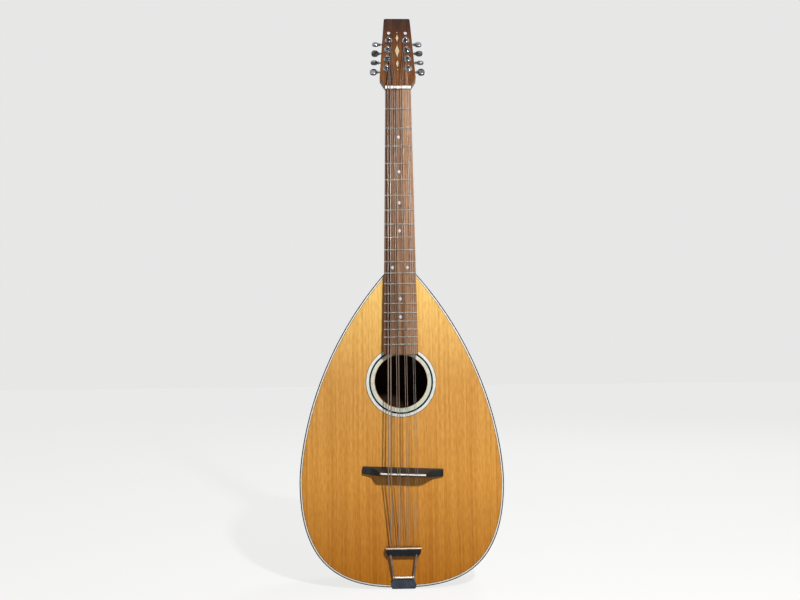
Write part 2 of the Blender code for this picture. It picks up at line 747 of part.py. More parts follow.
def add_bridge():
    """Ebony bridge standing free on the top, with a bone saddle let into its crest."""
    half = BRIDGE_LENGTH / 2
    crest = BRIDGE_CREST_LENGTH / 2
    ridge = BRIDGE_CREST_WIDTH / 2
    above = BRIDGE_BASE_ABOVE
    shelf = above - BRIDGE_EDGE_SLOPE
    stations = [
        (crest, BRIDGE_BASE_BELOW, ridge, ridge, BRIDGE_CREST_HEIGHT),
        (
            crest + BRIDGE_WING_RUN,
            BRIDGE_WING_BELOW,
            shelf,
            BRIDGE_WING_BELOW - BRIDGE_EDGE_SLOPE,
            BRIDGE_WING_HEIGHT,
        ),
        (half, BRIDGE_TIP_BELOW, shelf, BRIDGE_TIP_BELOW - BRIDGE_EDGE_SLOPE, BRIDGE_TIP_HEIGHT),
    ]
    mirrored = [(-x, *rest) for x, *rest in reversed(stations)]
    rings = []
    for x, below, top_above, top_below, height in mirrored + stations:
        edges = ((-below, 0.0), (above, 0.0), (top_above, height), (-top_below, height))
        rings.append([(x, -y, z) for z, y in edges])
    slot_half = SADDLE_LENGTH / 2 + GAP
    wide = SADDLE_THICKNESS / 2 + GAP
    slot_floor = BRIDGE_CREST_HEIGHT - SADDLE_SET - GAP
    slot = bar("slot", (-slot_half, -SADDLE_TOP, -wide), (slot_half, -slot_floor, wide))
    mesh = combine(loft("bridge", rings), [slot], "DIFFERENCE")
    place = (BRIDGE_SHIFT, -GAP, -BRIDGE_BELOW_JOINT)
    add_part("bridge", mesh, instrument, EBONY, place, BRIDGE_SKEW)

    foot = BRIDGE_CREST_HEIGHT - SADDLE_SET
    half = SADDLE_LENGTH / 2
    thick = SADDLE_THICKNESS / 2
    mesh = bar("saddle", (-half, GAP - SADDLE_TOP, -thick), (half, -foot, thick))
    add_part("saddle", mesh, instrument, BONE, place, BRIDGE_SKEW)


def string_route(index):
    """Centre line of one string: round its post, over nut and saddle, into the tailpiece."""
    radius = string_gauge(index) / 2
    side, post_x, rise = tuner_seat(index)
    nut = NECK_FRAME @ Vector((
        string_across(index, NUT_COURSE_SPACING, NUT_PAIR_CLEAR),
        -string_bottom(JOINT_DISTANCE) - radius,
        HEAD_START + GAP,
    ))
    wrap = POST_RADIUS + GAP + radius
    low = BUSHING_TOP + GAP + radius
    turn_rise = 2 * radius + WINDING_CLEAR
    turns = max((STRING_HOLE_HEIGHT - low) / turn_rise, LEAST_TURNS)

    # The string meets the post's inner side along a tangent, then climbs round it
    seen = HEAD_FRAME.inverted() @ nut
    away = Vector((side * (seen.x - post_x), seen.z - rise))
    start = math.pi - (math.atan2(away.y, away.x) % (2 * math.pi) - math.acos(wrap / away.length))
    steps = round(turns * WINDING_STEPS)
    route = []
    for i in range(steps + 1):
        angle = start + 2 * math.pi * turns * i / steps
        height = low + turn_rise * turns * i / steps
        x = post_x - side * wrap * math.cos(angle)
        route.append(HEAD_FRAME @ Vector((x, -height, rise + wrap * math.sin(angle))))
    leave = (route[-1] - route[-2]).normalized()
    route.append(route[-1] + 2 * radius * leave)
    route.reverse()

    route.append(nut)
    x = string_across(index, SADDLE_COURSE_SPACING, SADDLE_PAIR_CLEAR) + BRIDGE_SHIFT
    z = -BRIDGE_BELOW_JOINT - (x - BRIDGE_SHIFT) * math.tan(BRIDGE_SKEW)
    saddle = Vector((x, -SADDLE_TOP - GAP - radius, z))
    route.append(saddle)
    x = string_across(index, TAIL_COURSE_SPACING, SADDLE_PAIR_CLEAR) + TAIL_SHIFT
    depth = PLATE_HEIGHT - PLATE_THICKNESS - GAP - GAUGES[0] / 2
    lip = Vector((x, -depth, -PLATE_BELOW_JOINT))
    route.append(lip + (lip - saddle).normalized() * PLATE_LENGTH / 2)
    return route, steps


def winding_gap(route, steps, radius):
    """Least gap between the turns of a winding, measured on points along its centre line."""
    fine = 8
    line = []
    for a, b in zip(route[:steps + 3], route[1:steps + 3]):
        line += [a.lerp(b, k / fine) for k in range(fine)]
    apart = WINDING_STEPS * fine // 2
    gaps = [(p - q).length for i, p in enumerate(line) for q in line[i + apart:]]
    return min(gaps) - 2 * radius if gaps else None


def add_strings():
    for index in range(STRING_COUNT):
        name = "string_%d" % (index + 1)
        radius = string_gauge(index) / 2
        route, steps = string_route(index)
        least = winding_gap(route[:steps + 2], steps, radius)
        if least is not None:
            print(name, "least gap of its winding to itself, mm:", round(least * 1000, 2))
        curve = bpy.data.curves.new(name, "CURVE")
        curve.dimensions = "3D"
        curve.bevel_depth = radius
        curve.bevel_resolution = 1
        curve.use_fill_caps = True
        spline = curve.splines.new("POLY")
        spline.points.add(len(route) - 1)
        for point, place in zip(spline.points, route):
            point.co = (*place, 1.0)
        add_part(name, curve, instrument, BRONZE if index < STRING_COUNT - 2 else STEEL)


def button_mesh(side, turn):
    """Oval button, shaft and worm of one machine, along X from the worm's middle."""
    turn = math.radians(turn)
    inner = -CAVITY_HALF_WIDTH + GAP
    outer = CAVITY_HALF_WIDTH - GAP
    worm_end = TOOTH_PITCH * (WORM_TURNS + 1) / 2
    collar = BUTTON_START - BUTTON_COLLAR_LENGTH
    rounds = [
        (inner, WORM_CORE, WORM_CORE),
        (min(worm_end, outer), WORM_CORE, WORM_CORE),
        (outer, SHAFT_RADIUS, SHAFT_RADIUS),
        (collar, SHAFT_RADIUS, SHAFT_RADIUS),
        (collar, BUTTON_COLLAR_RADIUS, BUTTON_COLLAR_RADIUS),
        (BUTTON_START, BUTTON_COLLAR_RADIUS, BUTTON_COLLAR_RADIUS),
    ]
    for share in BUTTON_STATIONS:
        fullness = max(1 - abs(2 * share - 1) ** BUTTON_ROUNDNESS, BUTTON_TIP)
        swell = fullness ** (1 / BUTTON_ROUNDNESS)
        x = BUTTON_START + share * BUTTON_REACH
        rounds.append((x, BUTTON_WIDTH / 2 * swell, BUTTON_THICKNESS / 2 * swell))
    rings = []
    for x, wide, thick in rounds:
        ring = []
        for i in range(SHAFT_STEPS):
            angle = 2 * math.pi * i / SHAFT_STEPS
            reach = 1 / math.hypot(math.cos(angle - turn) / wide, math.sin(angle - turn) / thick)
            ring.append((side * x, reach * math.cos(angle), reach * math.sin(angle)))
        rings.append(ring)
    body = loft("button", rings)

    # The thread's section in the axial plane: wide at the core, narrow at the crest.
    # Its stations lie between the core's corners, so no face of one lies in a face of the other.
    half_pitch_line = TOOTH_PITCH / 4 - GAP / 2
    crest = half_pitch_line - TOOTH_ADDENDUM * math.tan(TOOTH_SLOPE)
    sunk = WORM_CORE - GAP
    root = half_pitch_line + (WORM_PITCH_RADIUS - sunk) * math.tan(TOOTH_SLOPE)
    section = ((-root, sunk), (-crest, WORM_OUTSIDE), (crest, WORM_OUTSIDE), (root, sunk))
    rings = []
    for i in range(WORM_TURNS * WORM_STEPS):
        x = TOOTH_PITCH * ((i + 0.5) / WORM_STEPS - WORM_TURNS / 2)
        angle = 2 * math.pi * x / TOOTH_PITCH + math.pi / 2
        ring = []
        for along, radius in section:
            ring.append((side * (x + along), radius * math.cos(angle), radius * math.sin(angle)))
        rings.append(ring)
    return combine(body, [loft("thread", rings)], "UNION")


def post_mesh(side):
    """String post with its worm wheel, along Y; depths are measured from the faceplate."""
    half_pitch_line = TOOTH_PITCH / 4 - GAP / 2
    tip = half_pitch_line - TOOTH_ADDENDUM * math.tan(TOOTH_SLOPE)
    root = half_pitch_line + TOOTH_DEDENDUM * math.tan(TOOTH_SLOPE)
    lead = TOOTH_PITCH / (2 * math.pi * WORM_PITCH_RADIUS)
    rings = []
    for offset in (-WHEEL_THICKNESS / 2, WHEEL_THICKNESS / 2):
        twist = lead * offset / WHEEL_RADIUS
        ring = []
        for tooth in range(WHEEL_TEETH):
            middle = 2 * math.pi * tooth / WHEEL_TEETH + twist
            for across, reach in (
                (-root, -TOOTH_DEDENDUM),
                (-tip, TOOTH_ADDENDUM),
                (tip, TOOTH_ADDENDUM),
                (root, -TOOTH_DEDENDUM),
            ):
                radius = WHEEL_RADIUS + reach
                angle = middle + across / radius
                x = side * radius * math.sin(angle)
                ring.append((x, GEAR_DEPTH + offset, radius * math.cos(angle)))
        rings.append(ring)
    wheel = loft("wheel", rings)
    end = HOUSING_FRONT + CAVITY_DEPTH - GAP
    shaft = turned("post", ((-POST_HEIGHT, POST_RADIUS), (end, POST_RADIUS)), "Y", SHAFT_STEPS)
    stations = ((-CUTTER_REACH, STRING_HOLE_RADIUS), (CUTTER_REACH, STRING_HOLE_RADIUS))
    hole = turned("hole", stations, "X", STRING_HOLE_STEPS)
    moved(hole, (0, -STRING_HOLE_HEIGHT, 0))
    return combine(combine(shaft, [wheel], "UNION"), [hole], "DIFFERENCE")


def housing_mesh(side):
    """Cup over the gears, open towards the headstock, with a hole for the button's shaft."""
    def box(grow, front, back, corner):
        wide = CAVITY_HALF_WIDTH + grow
        corners = ((-wide, -wide), (wide, -wide), (wide, CAVITY_TOP + grow), (-wide, CAVITY_TOP + grow))
        return plate("box", rounded(corners, [corner] * 4, 2), front, back)

    floor = HOUSING_FRONT + CAVITY_DEPTH
    shell = box(HOUSING_WALL, HOUSING_FRONT, floor + HOUSING_WALL, HOUSING_CORNER)
    cavity = box(0.0, HOUSING_FRONT - HOUSING_WALL, floor, HOUSING_CORNER - HOUSING_WALL)
    radius = SHAFT_RADIUS + GAP
    reach = CAVITY_HALF_WIDTH + 2 * HOUSING_WALL
    bore = turned("bore", ((0.0, radius), (side * reach, radius)), "X", SHAFT_STEPS)
    moved(bore, (0, GEAR_DEPTH, WORM_OFFSET))
    return combine(shell, [cavity, bore], "DIFFERENCE")


def add_tuners():
    """Eight machines: housing behind the headstock, bushing in it, post and button turning."""
    sleeve = POST_RADIUS + GAP
    profile = (
        (sleeve, -BUSHING_TOP),
        (sleeve, BUSHING_SLEEVE_LENGTH),
        (BUSHING_SLEEVE_RADIUS, BUSHING_SLEEVE_LENGTH),
        (BUSHING_SLEEVE_RADIUS, -GAP),
        (WASHER_RADIUS, -GAP),
        (WASHER_RADIUS, -GAP - WASHER_THICKNESS),
        (COLLAR_RADIUS, -BUSHING_TOP),
    )
    for index in range(STRING_COUNT):
        side, x, rise = tuner_seat(index)
        number = index + 1
        seat = add_empty("tuner_seat_%d" % number, head_axis, (x, 0, rise))
        name = "tuner_bushing_%d" % number
        add_part(name, turned_ring(name, profile, SHAFT_STEPS), seat, CHROME)
        add_part("tuner_housing_%d" % number, housing_mesh(side), seat, CHROME)
        add_part("tuner_post_%d" % number, post_mesh(side), seat, STEEL)
        mesh = button_mesh(side, BUTTON_TURNS[index])
        axle = (0, GEAR_DEPTH, WORM_OFFSET)
        add_part("tuner_button_%d" % number, mesh, seat, CHROME, axle)


def add_tailpiece():
    """Trapeze with a string plate, two legs and a hinge rod, and the base that holds the rod."""
    top = -PLATE_BELOW_JOINT
    low = top - PLATE_LENGTH
    half = PLATE_WIDTH / 2
    corners = ((-half, top), (-half, low), (half, low), (half, top))
    face = plate(
        "plate",
        rounded(corners, (0, PLATE_CORNER, PLATE_CORNER, 0), 2),
        -PLATE_HEIGHT,
        PLATE_THICKNESS - PLATE_HEIGHT,
    )
    lip = bar("lip", (-half, -PLATE_HEIGHT, top - PLATE_THICKNESS), (half, -PLATE_LIP_DEPTH, top))
    hinge_z = -HINGE_BELOW_JOINT

    legs = []
    for side in (-1, 1):
        upper = Vector((side * LEG_TOP_SPREAD / 2, low + LEG_WIDTH))
        foot = Vector((side * LEG_FOOT_SPREAD / 2, hinge_z))
        rings = []
        for x, z, front in (
            (upper.x, upper.y, -PLATE_HEIGHT + PLATE_THICKNESS / 2),
            (upper.x, low - LEG_WIDTH / 2, -PLATE_HEIGHT + PLATE_THICKNESS / 2),
            (foot.x, foot.y + 2 * LEG_WIDTH, -HINGE_HEIGHT - LEG_THICKNESS / 2),
            (foot.x, foot.y - LEG_WIDTH / 2, -HINGE_HEIGHT - LEG_THICKNESS / 2),
        ):
            left = x - LEG_WIDTH / 2
            right = x + LEG_WIDTH / 2
            deep = front + LEG_THICKNESS
            rings.append(((left, front, z), (right, front, z), (right, deep, z), (left, deep, z)))
        legs.append(loft("leg", rings))

    reach = LEG_FOOT_SPREAD / 2 + LEG_WIDTH / 2
    rod = turned("rod", ((-reach, HINGE_ROD_RADIUS), (reach, HINGE_ROD_RADIUS)), "X", SHAFT_STEPS)
    moved(rod, (0, -HINGE_HEIGHT, hinge_z))
    notches = []
    for index in range(STRING_COUNT):
        x = string_across(index, TAIL_COURSE_SPACING, SADDLE_PAIR_CLEAR)
        wide = string_gauge(index) / 2 + GAP
        reach = PLATE_HEIGHT - PLATE_THICKNESS
        notch_low = (x - wide, -reach, top - 2 * PLATE_THICKNESS)
        notches.append(bar("notch", notch_low, (x + wide, 0.0, top + PLATE_THICKNESS)))
    whole = combine(face, [lip, *legs, rod], "UNION")
    mesh = combine(whole, notches, "DIFFERENCE")
    add_part("tailpiece_trapeze", mesh, instrument, CHROME, (TAIL_SHIFT, 0, 0))

    wide = BASE_WIDTH / 2
    edge = -BODY_LENGTH - GAP
    outer = edge - BASE_THICKNESS
    head = hinge_z - HINGE_BARREL_RADIUS + BASE_ABOVE_HINGE
    corners = ((-wide, outer), (wide, outer), (wide, head), (-wide, head))
    corner = min(BASE_CORNER, (head - outer) / 2)
    pad = plate("pad", rounded(corners, (0, 0, corner, corner), 4), -GAP - BASE_THICKNESS, -GAP)
    corners = ((-wide, -GAP), (-wide, BASE_STRAP_LENGTH), (wide, BASE_STRAP_LENGTH), (wide, -GAP))
    flat = rounded(corners, (0, BASE_CORNER, BASE_CORNER, 0), 4)
    strap = loft("strap", [[(p[0], p[1], z) for p in flat] for z in (outer, edge)])
    fold = bar("fold", (-wide, -GAP - BASE_THICKNESS, outer), (wide, 0.0, edge))
    barrel_half = HINGE_BARREL_LENGTH / 2
    stations = ((-barrel_half, HINGE_BARREL_RADIUS), (barrel_half, HINGE_BARREL_RADIUS))
    barrel = turned("barrel", stations, "X", SHAFT_STEPS)
    moved(barrel, (0, -HINGE_HEIGHT, hinge_z))
    web = bar(
        "web",
        (-barrel_half, -HINGE_HEIGHT, hinge_z - HINGE_BARREL_RADIUS),
        (barrel_half, -GAP, hinge_z - HINGE_ROD_RADIUS - GAP),
    )
    bore_radius = HINGE_ROD_RADIUS + GAP
    stations = ((-2 * barrel_half, bore_radius), (2 * barrel_half, bore_radius))
    bore = turned("bore", stations, "X", SHAFT_STEPS)
    moved(bore, (0, -HINGE_HEIGHT, hinge_z))
    mesh = combine(combine(pad, [strap, fold, barrel, web], "UNION"), [bore], "DIFFERENCE")
    add_part("tailpiece_base", mesh, instrument, STEEL, (TAIL_SHIFT, 0, 0))


add_body_shell()
add_blocks_and_braces()
add_neck()
add_fretboard()
add_nut()
add_bridge()
add_tuners()
add_strings()
add_tailpiece()
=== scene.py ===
from math import acos, atan2, copysign, cos, hypot, pi, radians, sin, sqrt, tan

import bmesh
import bpy
from mathutils import Matrix, Vector


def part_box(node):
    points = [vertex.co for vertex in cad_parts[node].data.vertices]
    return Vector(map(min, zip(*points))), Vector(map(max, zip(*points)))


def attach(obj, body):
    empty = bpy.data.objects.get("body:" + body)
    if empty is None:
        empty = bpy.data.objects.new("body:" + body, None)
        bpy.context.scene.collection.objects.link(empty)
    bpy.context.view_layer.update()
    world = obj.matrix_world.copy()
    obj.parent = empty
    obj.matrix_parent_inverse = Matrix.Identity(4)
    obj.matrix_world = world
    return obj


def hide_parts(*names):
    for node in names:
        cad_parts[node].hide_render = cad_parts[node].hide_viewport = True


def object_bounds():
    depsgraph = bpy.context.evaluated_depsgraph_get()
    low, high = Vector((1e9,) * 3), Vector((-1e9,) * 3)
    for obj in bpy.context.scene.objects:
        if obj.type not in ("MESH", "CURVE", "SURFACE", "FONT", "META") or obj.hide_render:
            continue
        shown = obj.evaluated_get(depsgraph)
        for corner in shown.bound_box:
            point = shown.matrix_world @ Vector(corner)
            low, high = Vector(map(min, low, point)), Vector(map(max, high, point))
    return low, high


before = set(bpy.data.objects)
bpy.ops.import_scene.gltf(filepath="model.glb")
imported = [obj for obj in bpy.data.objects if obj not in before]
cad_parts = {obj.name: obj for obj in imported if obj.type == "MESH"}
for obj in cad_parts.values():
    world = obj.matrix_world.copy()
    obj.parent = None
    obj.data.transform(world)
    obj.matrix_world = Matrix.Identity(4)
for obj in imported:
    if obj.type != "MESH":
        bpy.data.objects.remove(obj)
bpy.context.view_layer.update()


# Soundboard
# Two bookmatched halves of close-grained spruce, joined on the centre line and planed to 3 mm.
# The soundhole is cut out and a shallow seat routed round it for the rosette, and the face is
# varnished a clear amber.
SCALE_LENGTH = 0.648
BODY_JOINT = SCALE_LENGTH / 2
NUT_WIDTH = 0.0445
FRETBOARD_FLARE = 0.0283
BODY_WIDTH = 0.3364
BODY_LENGTH = 0.5132
WIDEST_ABOVE_TAIL = 0.1710
SHOULDER_ANGLE = radians(40.9)
SHOULDER_REACH = 0.2096
UPPER_BELLY = 0.0164
LOWER_BELLY = 0.1544
TAIL_ROUND = 0.0795
RIM_STEPS = 64
BINDING_WIDTH = 0.0042
TOP_THICKNESS = 0.003
HOLE_BELOW_JOINT = 0.1808
HOLE_RADIUS = 0.0439
HOLE_EASE = 0.0002
ROSETTE_RADIUS = 0.0586
ROSETTE_LIP = 0.0007
ROSETTE_BELOW_JOINT = 0.1815
ROSETTE_DEPTH = 0.0015
SHARP_EDGE = radians(35.0)
CLEARANCE = 0.0003
HAIR = 0.0001

# The frame of the body has its zero where the neck joins, on the centre line, level with the front
low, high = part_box("binding_top")
BODY = Matrix.Translation((0.0, low.y, high.z))


def half_width(s):
    """Half the fretboard's width at distance s above the body joint."""
    return NUT_WIDTH / 2 + FRETBOARD_FLARE / 2 * (BODY_JOINT - s)


def weighted(weights, points):
    return sum((w * p for w, p in zip(weights, points)), Vector((0.0, 0.0)))


def bezier(points, t):
    """A place on a curve of four control points, and the curve's direction there."""
    place = weighted(((1 - t) ** 3, 3 * (1 - t) ** 2 * t, 3 * (1 - t) * t ** 2, t ** 3), points)
    legs = [after - before for before, after in zip(points, points[1:])]
    return place, weighted(((1 - t) ** 2, 2 * (1 - t) * t, t ** 2), legs).normalized()


corner = Vector((half_width(0.0), 0.0))
widest = Vector((BODY_WIDTH / 2, WIDEST_ABOVE_TAIL - BODY_LENGTH))
tail = Vector((0.0, -BODY_LENGTH))
away = Vector((sin(SHOULDER_ANGLE), -cos(SHOULDER_ANGLE)))
upper_bout = (corner, corner + SHOULDER_REACH * away, widest + Vector((0.0, UPPER_BELLY)), widest)
lower_bout = (widest, widest - Vector((0.0, LOWER_BELLY)), tail + Vector((TAIL_ROUND, 0.0)), tail)
rim_places = []
for bout, first in ((upper_bout, 0), (lower_bout, 1)):
    for i in range(first, RIM_STEPS + 1):
        place, heading = bezier(bout, i / RIM_STEPS)
        rim_places.append((place, Vector((heading.y, -heading.x))))


def level(depth):
    return lambda z: depth


def rim_ring(inset, depth):
    """The body's outline moved inwards, at a depth behind the front that may change with height."""
    half = [place + inset * inward for place, inward in rim_places]
    flat = Vector((0.0, -1.0))
    side = rim_places[0][1]
    half[0] = rim_places[0][0] + inset * (flat + side) / (1 + flat.dot(side))
    half[-1].x = 0.0
    loop = half + [Vector((-p.x, p.y)) for p in reversed(half[:-1])]
    return [Vector((p.x, depth(p.y), p.y)) for p in loop]


def smooth(mesh):
    mesh.shade_smooth()
    mesh.set_sharp_from_angle(angle=SHARP_EDGE)
    return mesh


def show(made):
    bpy.context.scene.collection.objects.link(made)
    return made


def form(name, finish, points, faces, place=BODY):
    """A mesh in one of the instrument's frames, smooth but for its sharp edges."""
    shell = bmesh.new()
    corners = [shell.verts.new(place @ Vector(p)) for p in points]
    for face in faces:
        shell.faces.new([corners[i] for i in face])
    bmesh.ops.remove_doubles(shell, verts=shell.verts, dist=1e-7)
    bmesh.ops.recalc_face_normals(shell, faces=shell.faces)
    mesh = bpy.data.meshes.new(name)
    shell.to_mesh(mesh)
    shell.free()
    mesh.materials.append(finish)
    return show(bpy.data.objects.new(name, smooth(mesh)))


def skin(name, finish, rings, place=BODY, looped=False):
    """A closed skin over rings of equal count, capped at both ends or looped round."""
    count = len(rings[0])
    faces = []
    for i in range(len(rings) if looped else len(rings) - 1):
        here = i * count
        there = (i + 1) % len(rings) * count
        for j in range(count):
            k = (j + 1) % count
            faces.append((here + j, here + k, there + k, there + j))
    if not looped:
        last = (len(rings) - 1) * count
        faces += [tuple(range(count)), tuple(range(last, last + count))]
    return form(name, finish, [p for ring in rings for p in ring], faces, place)


def fit(made, slot, *nodes, body="instrument"):
    """Fix a piece to the body it moves with, and let it stand for its plain solids."""
    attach(made, body)
    if nodes:
        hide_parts(*nodes)


def soften(made, width, segments=2, angle=SHARP_EDGE):
    """Round a piece's edges."""
    bevel = made.modifiers.new("rounded_edges", "BEVEL")
    bevel.width = width
    bevel.segments = segments
    bevel.limit_method = "ANGLE"
    bevel.angle_limit = angle
    bevel.harden_normals = True


def opaque(colour):
    return (*colour, 1.0)


def new_finish(name, constants):
    """A material with these constants on its shader's own sockets, and that shader."""
    finish = bpy.data.materials.new(name)
    finish.use_nodes = True
    shader = finish.node_tree.nodes["Principled BSDF"]
    for socket, value in constants.items():
        shader.inputs[socket].default_value = value
    return finish, shader


def node(near, kind, sockets=None, **settings):
    """A shader node beside another one, its sockets given values or other nodes' outputs."""
    tree = near.id_data
    made = tree.nodes.new("ShaderNode" + kind)
    for name, value in settings.items():
        setattr(made, name, value)
    for socket, value in (sockets or {}).items():
        if isinstance(value, bpy.types.NodeSocket):
            tree.links.new(value, made.inputs[socket])
        else:
            made.inputs[socket].default_value = value
    return made


def own_place(shader):
    return node(shader, "TexCoord").outputs["Object"]


def cloud(place, per_metre, detail=2.0):
    """Noise with so many lumps in a metre along each axis."""
    drawn = node(place, "Mapping", {"Vector": place, "Scale": per_metre}).outputs[0]
    return node(place, "TexNoise", {"Vector": drawn, "Scale": 1.0, "Detail": detail}).outputs[0]


def ramp(source, stops):
    """Colours along a value, as (position, colour)."""
    made = node(source, "ValToRGB", {0: source})
    for i, (position, colour) in enumerate(stops):
        stop = made.color_ramp.elements[i] if i < 2 else made.color_ramp.elements.new(position)
        stop.position = position
        stop.color = opaque(colour)
    return made.outputs[0]


def mixed(share, first, second, way="MIX"):
    sockets = {0: share, 6: first, 7: second}
    return node(first, "Mix", sockets, data_type="RGBA", blend_type=way).outputs[2]


def between(source, low, high, start=0.3, end=0.7):
    """A value spread from start..end to low..high."""
    sockets = {"Value": source, "From Min": start, "From Max": end, "To Min": low, "To Max": high}
    return node(source, "MapRange", sockets).outputs[0]


def feed(shader, roughness, colour=None, height=None, depth=0.0):
    """Give a shader its roughness and, where they change over the surface, its colour and relief."""
    link = shader.id_data.links.new
    link(roughness, shader.inputs["Roughness"])
    if colour:
        link(colour, shader.inputs["Base Color"])
    if height:
        bump = node(shader, "Bump", {"Height": height, "Strength": 0.6, "Distance": depth})
        link(bump.outputs[0], shader.inputs["Normal"])


def year_rings(place, gap, wander):
    """Growth rings a gap apart across X, drawn out along Z."""
    drawn = node(place, "Mapping", {"Vector": place, "Scale": (1.0, 1.0, 0.04)}).outputs[0]
    sockets = {"Vector": drawn, "Scale": 0.314 / gap, "Distortion": wander, "Detail": 2.0,
               "Detail Scale": 12.0 * gap}
    return node(place, "TexWave", sockets, bands_direction="X").outputs["Fac"]


def bookmatched(shader):
    """A board's own place, folded on the centre line so that its halves mirror each other."""
    split = node(shader, "SeparateXYZ", {0: own_place(shader)})
    across = node(shader, "Math", {0: split.outputs[0]}, operation="ABSOLUTE").outputs[0]
    sockets = {0: across, 1: split.outputs[1], 2: split.outputs[2]}
    return node(shader, "CombineXYZ", sockets).outputs[0], split.outputs[2]


# The board runs from pale amber at the neck to deep orange at the tail. This is partly the varnish's own deeper tone
# towards the tail and partly painted light: the upper part is lighter where the light falls on it.
SPRUCE_AT_NECK = (0.86, 0.585, 0.190)
SPRUCE_AT_HOLE = (0.655, 0.350, 0.094)
SPRUCE_AT_BRIDGE = (0.68, 0.330, 0.062)
SPRUCE_AT_TAIL = (0.48, 0.176, 0.006)
SPRUCE_TONES_AND_PAINTED_LIGHT = ((0.0, SPRUCE_AT_TAIL), (1.0, SPRUCE_AT_NECK), (0.35, SPRUCE_AT_BRIDGE), (0.65, SPRUCE_AT_HOLE))
UNTINTED = (1.0, 1.0, 1.0)
STREAK_TINTS = ((0.36, (0.84, 0.76, 0.62)), (0.56, UNTINTED))
LATE_WOOD_TINTS = ((0.45, UNTINTED), (0.95, (0.84, 0.74, 0.56)))
FLECK_TINTS = ((0.38, (0.83, 0.78, 0.68)), (0.6, UNTINTED))
STREAKS_PER_METRE = (210.0, 210.0, 2.2)
FLECKS_PER_METRE = (380.0, 380.0, 70.0)
SPRUCE_RING_GAP = 0.0017

spruce, shader = new_finish("amber_spruce", {"Specular IOR Level": 0.3})
board_place, board_height = bookmatched(shader)
streaks = cloud(board_place, STREAKS_PER_METRE, 4.0)
rings = year_rings(board_place, SPRUCE_RING_GAP, 4.0)
flecks = cloud(board_place, FLECKS_PER_METRE, 4.0)
# Tone along the board's height, with the painted light fall from neck to tail.
colour = ramp(between(board_height, 0.0, 1.0, high.z - BODY_LENGTH, high.z), SPRUCE_TONES_AND_PAINTED_LIGHT)
for share, source, tints in ((0.9, streaks, STREAK_TINTS), (0.6, rings, LATE_WOOD_TINTS), (0.8, flecks, FLECK_TINTS)):
    colour = mixed(share, colour, ramp(source, tints), "MULTIPLY")
feed(shader, between(streaks, 0.30, 0.40), colour, rings, 0.00005)

outline = rim_ring(BINDING_WIDTH, level(0.0))


def hole_ring(radius, depth, centre=HOLE_BELOW_JOINT):
    """A circle round the soundhole, with a point towards each point of the outline."""
    ring = []
    for p in outline:
        out = Vector((p.x, 0.0, p.z + HOLE_BELOW_JOINT)).normalized()
        ring.append(Vector((radius * out.x, depth, radius * out.z - centre)))
    return ring


seat_inside = HOLE_RADIUS + ROSETTE_LIP - HAIR
soundboard = skin("soundboard_top", spruce, [
    outline,
    hole_ring(ROSETTE_RADIUS + HAIR, 0.0, ROSETTE_BELOW_JOINT),
    hole_ring(ROSETTE_RADIUS + HAIR, ROSETTE_DEPTH, ROSETTE_BELOW_JOINT),
    hole_ring(seat_inside, ROSETTE_DEPTH),
    hole_ring(seat_inside, 0.0),
    hole_ring(HOLE_RADIUS + HOLE_EASE, 0.0),
    hole_ring(HOLE_RADIUS, 2 * HOLE_EASE),
    hole_ring(HOLE_RADIUS, TOP_THICKNESS),
    rim_ring(BINDING_WIDTH, level(TOP_THICKNESS)),
], looped=True)
fit(soundboard, "spruce", "soundboard")


# Rosette
# Rings of pale shell and black fibre let into the seat round the soundhole, glued in and scraped
# level with the board. A fine black line closes the outside.
FIBRE_BLACK = (0.008, 0.009, 0.012)
SHELL_FIGURE = ((0.3, (0.7, 0.75, 0.74)), (0.6, UNTINTED))
RING_EDGES = (0.0506, 0.0534, 0.0580, ROSETTE_RADIUS)


def shell_finish(name, white, green, rose):
    """Mother-of-pearl: slow clouds of green and rose in a pale ground, polished."""
    finish, shader = new_finish(name, {"Coat Weight": 0.5, "Coat Roughness": 0.08})
    place = own_place(shader)
    clouds = cloud(place, (160.0, 160.0, 160.0), 3.0)
    figure = cloud(place, (900.0, 900.0, 260.0))
    colour = ramp(clouds, ((0.35, green), (0.65, rose), (0.5, white)))
    colour = mixed(0.35, colour, ramp(figure, SHELL_FIGURE), "MULTIPLY")
    feed(shader, between(figure, 0.16, 0.32), colour)
    return finish


def arc(sweep, steps):
    """Cosine and sine at even steps over a sweep, both ends included."""
    return [(cos(sweep * i / steps), sin(sweep * i / steps)) for i in range(steps + 1)]


def turned(name, finish, profile, place, steps=48):
    """A piece turned round its own Y axis, from a closed outline of (radius, depth)."""
    rings = [[(r * c, y, r * s) for r, y in profile] for c, s in arc(2 * pi, steps)[:-1]]
    return skin(name, finish, rings, place, looped=True)


pearl = shell_finish("white_pearl", (0.69, 0.73, 0.71), green=(0.57, 0.65, 0.67), rose=(0.72, 0.68, 0.66))
grey_pearl = shell_finish("grey_pearl", (0.57, 0.62, 0.56), green=(0.46, 0.55, 0.49), rose=(0.64, 0.62, 0.49))
black_fibre, shader = new_finish("black_fibre", {"Base Color": opaque(FIBRE_BLACK), "Specular IOR Level": 0.1})
scuffs = cloud(own_place(shader), (120.0, 120.0, 40.0), 4.0)
feed(shader, between(scuffs, 0.22, 0.42), height=scuffs, depth=0.00003)

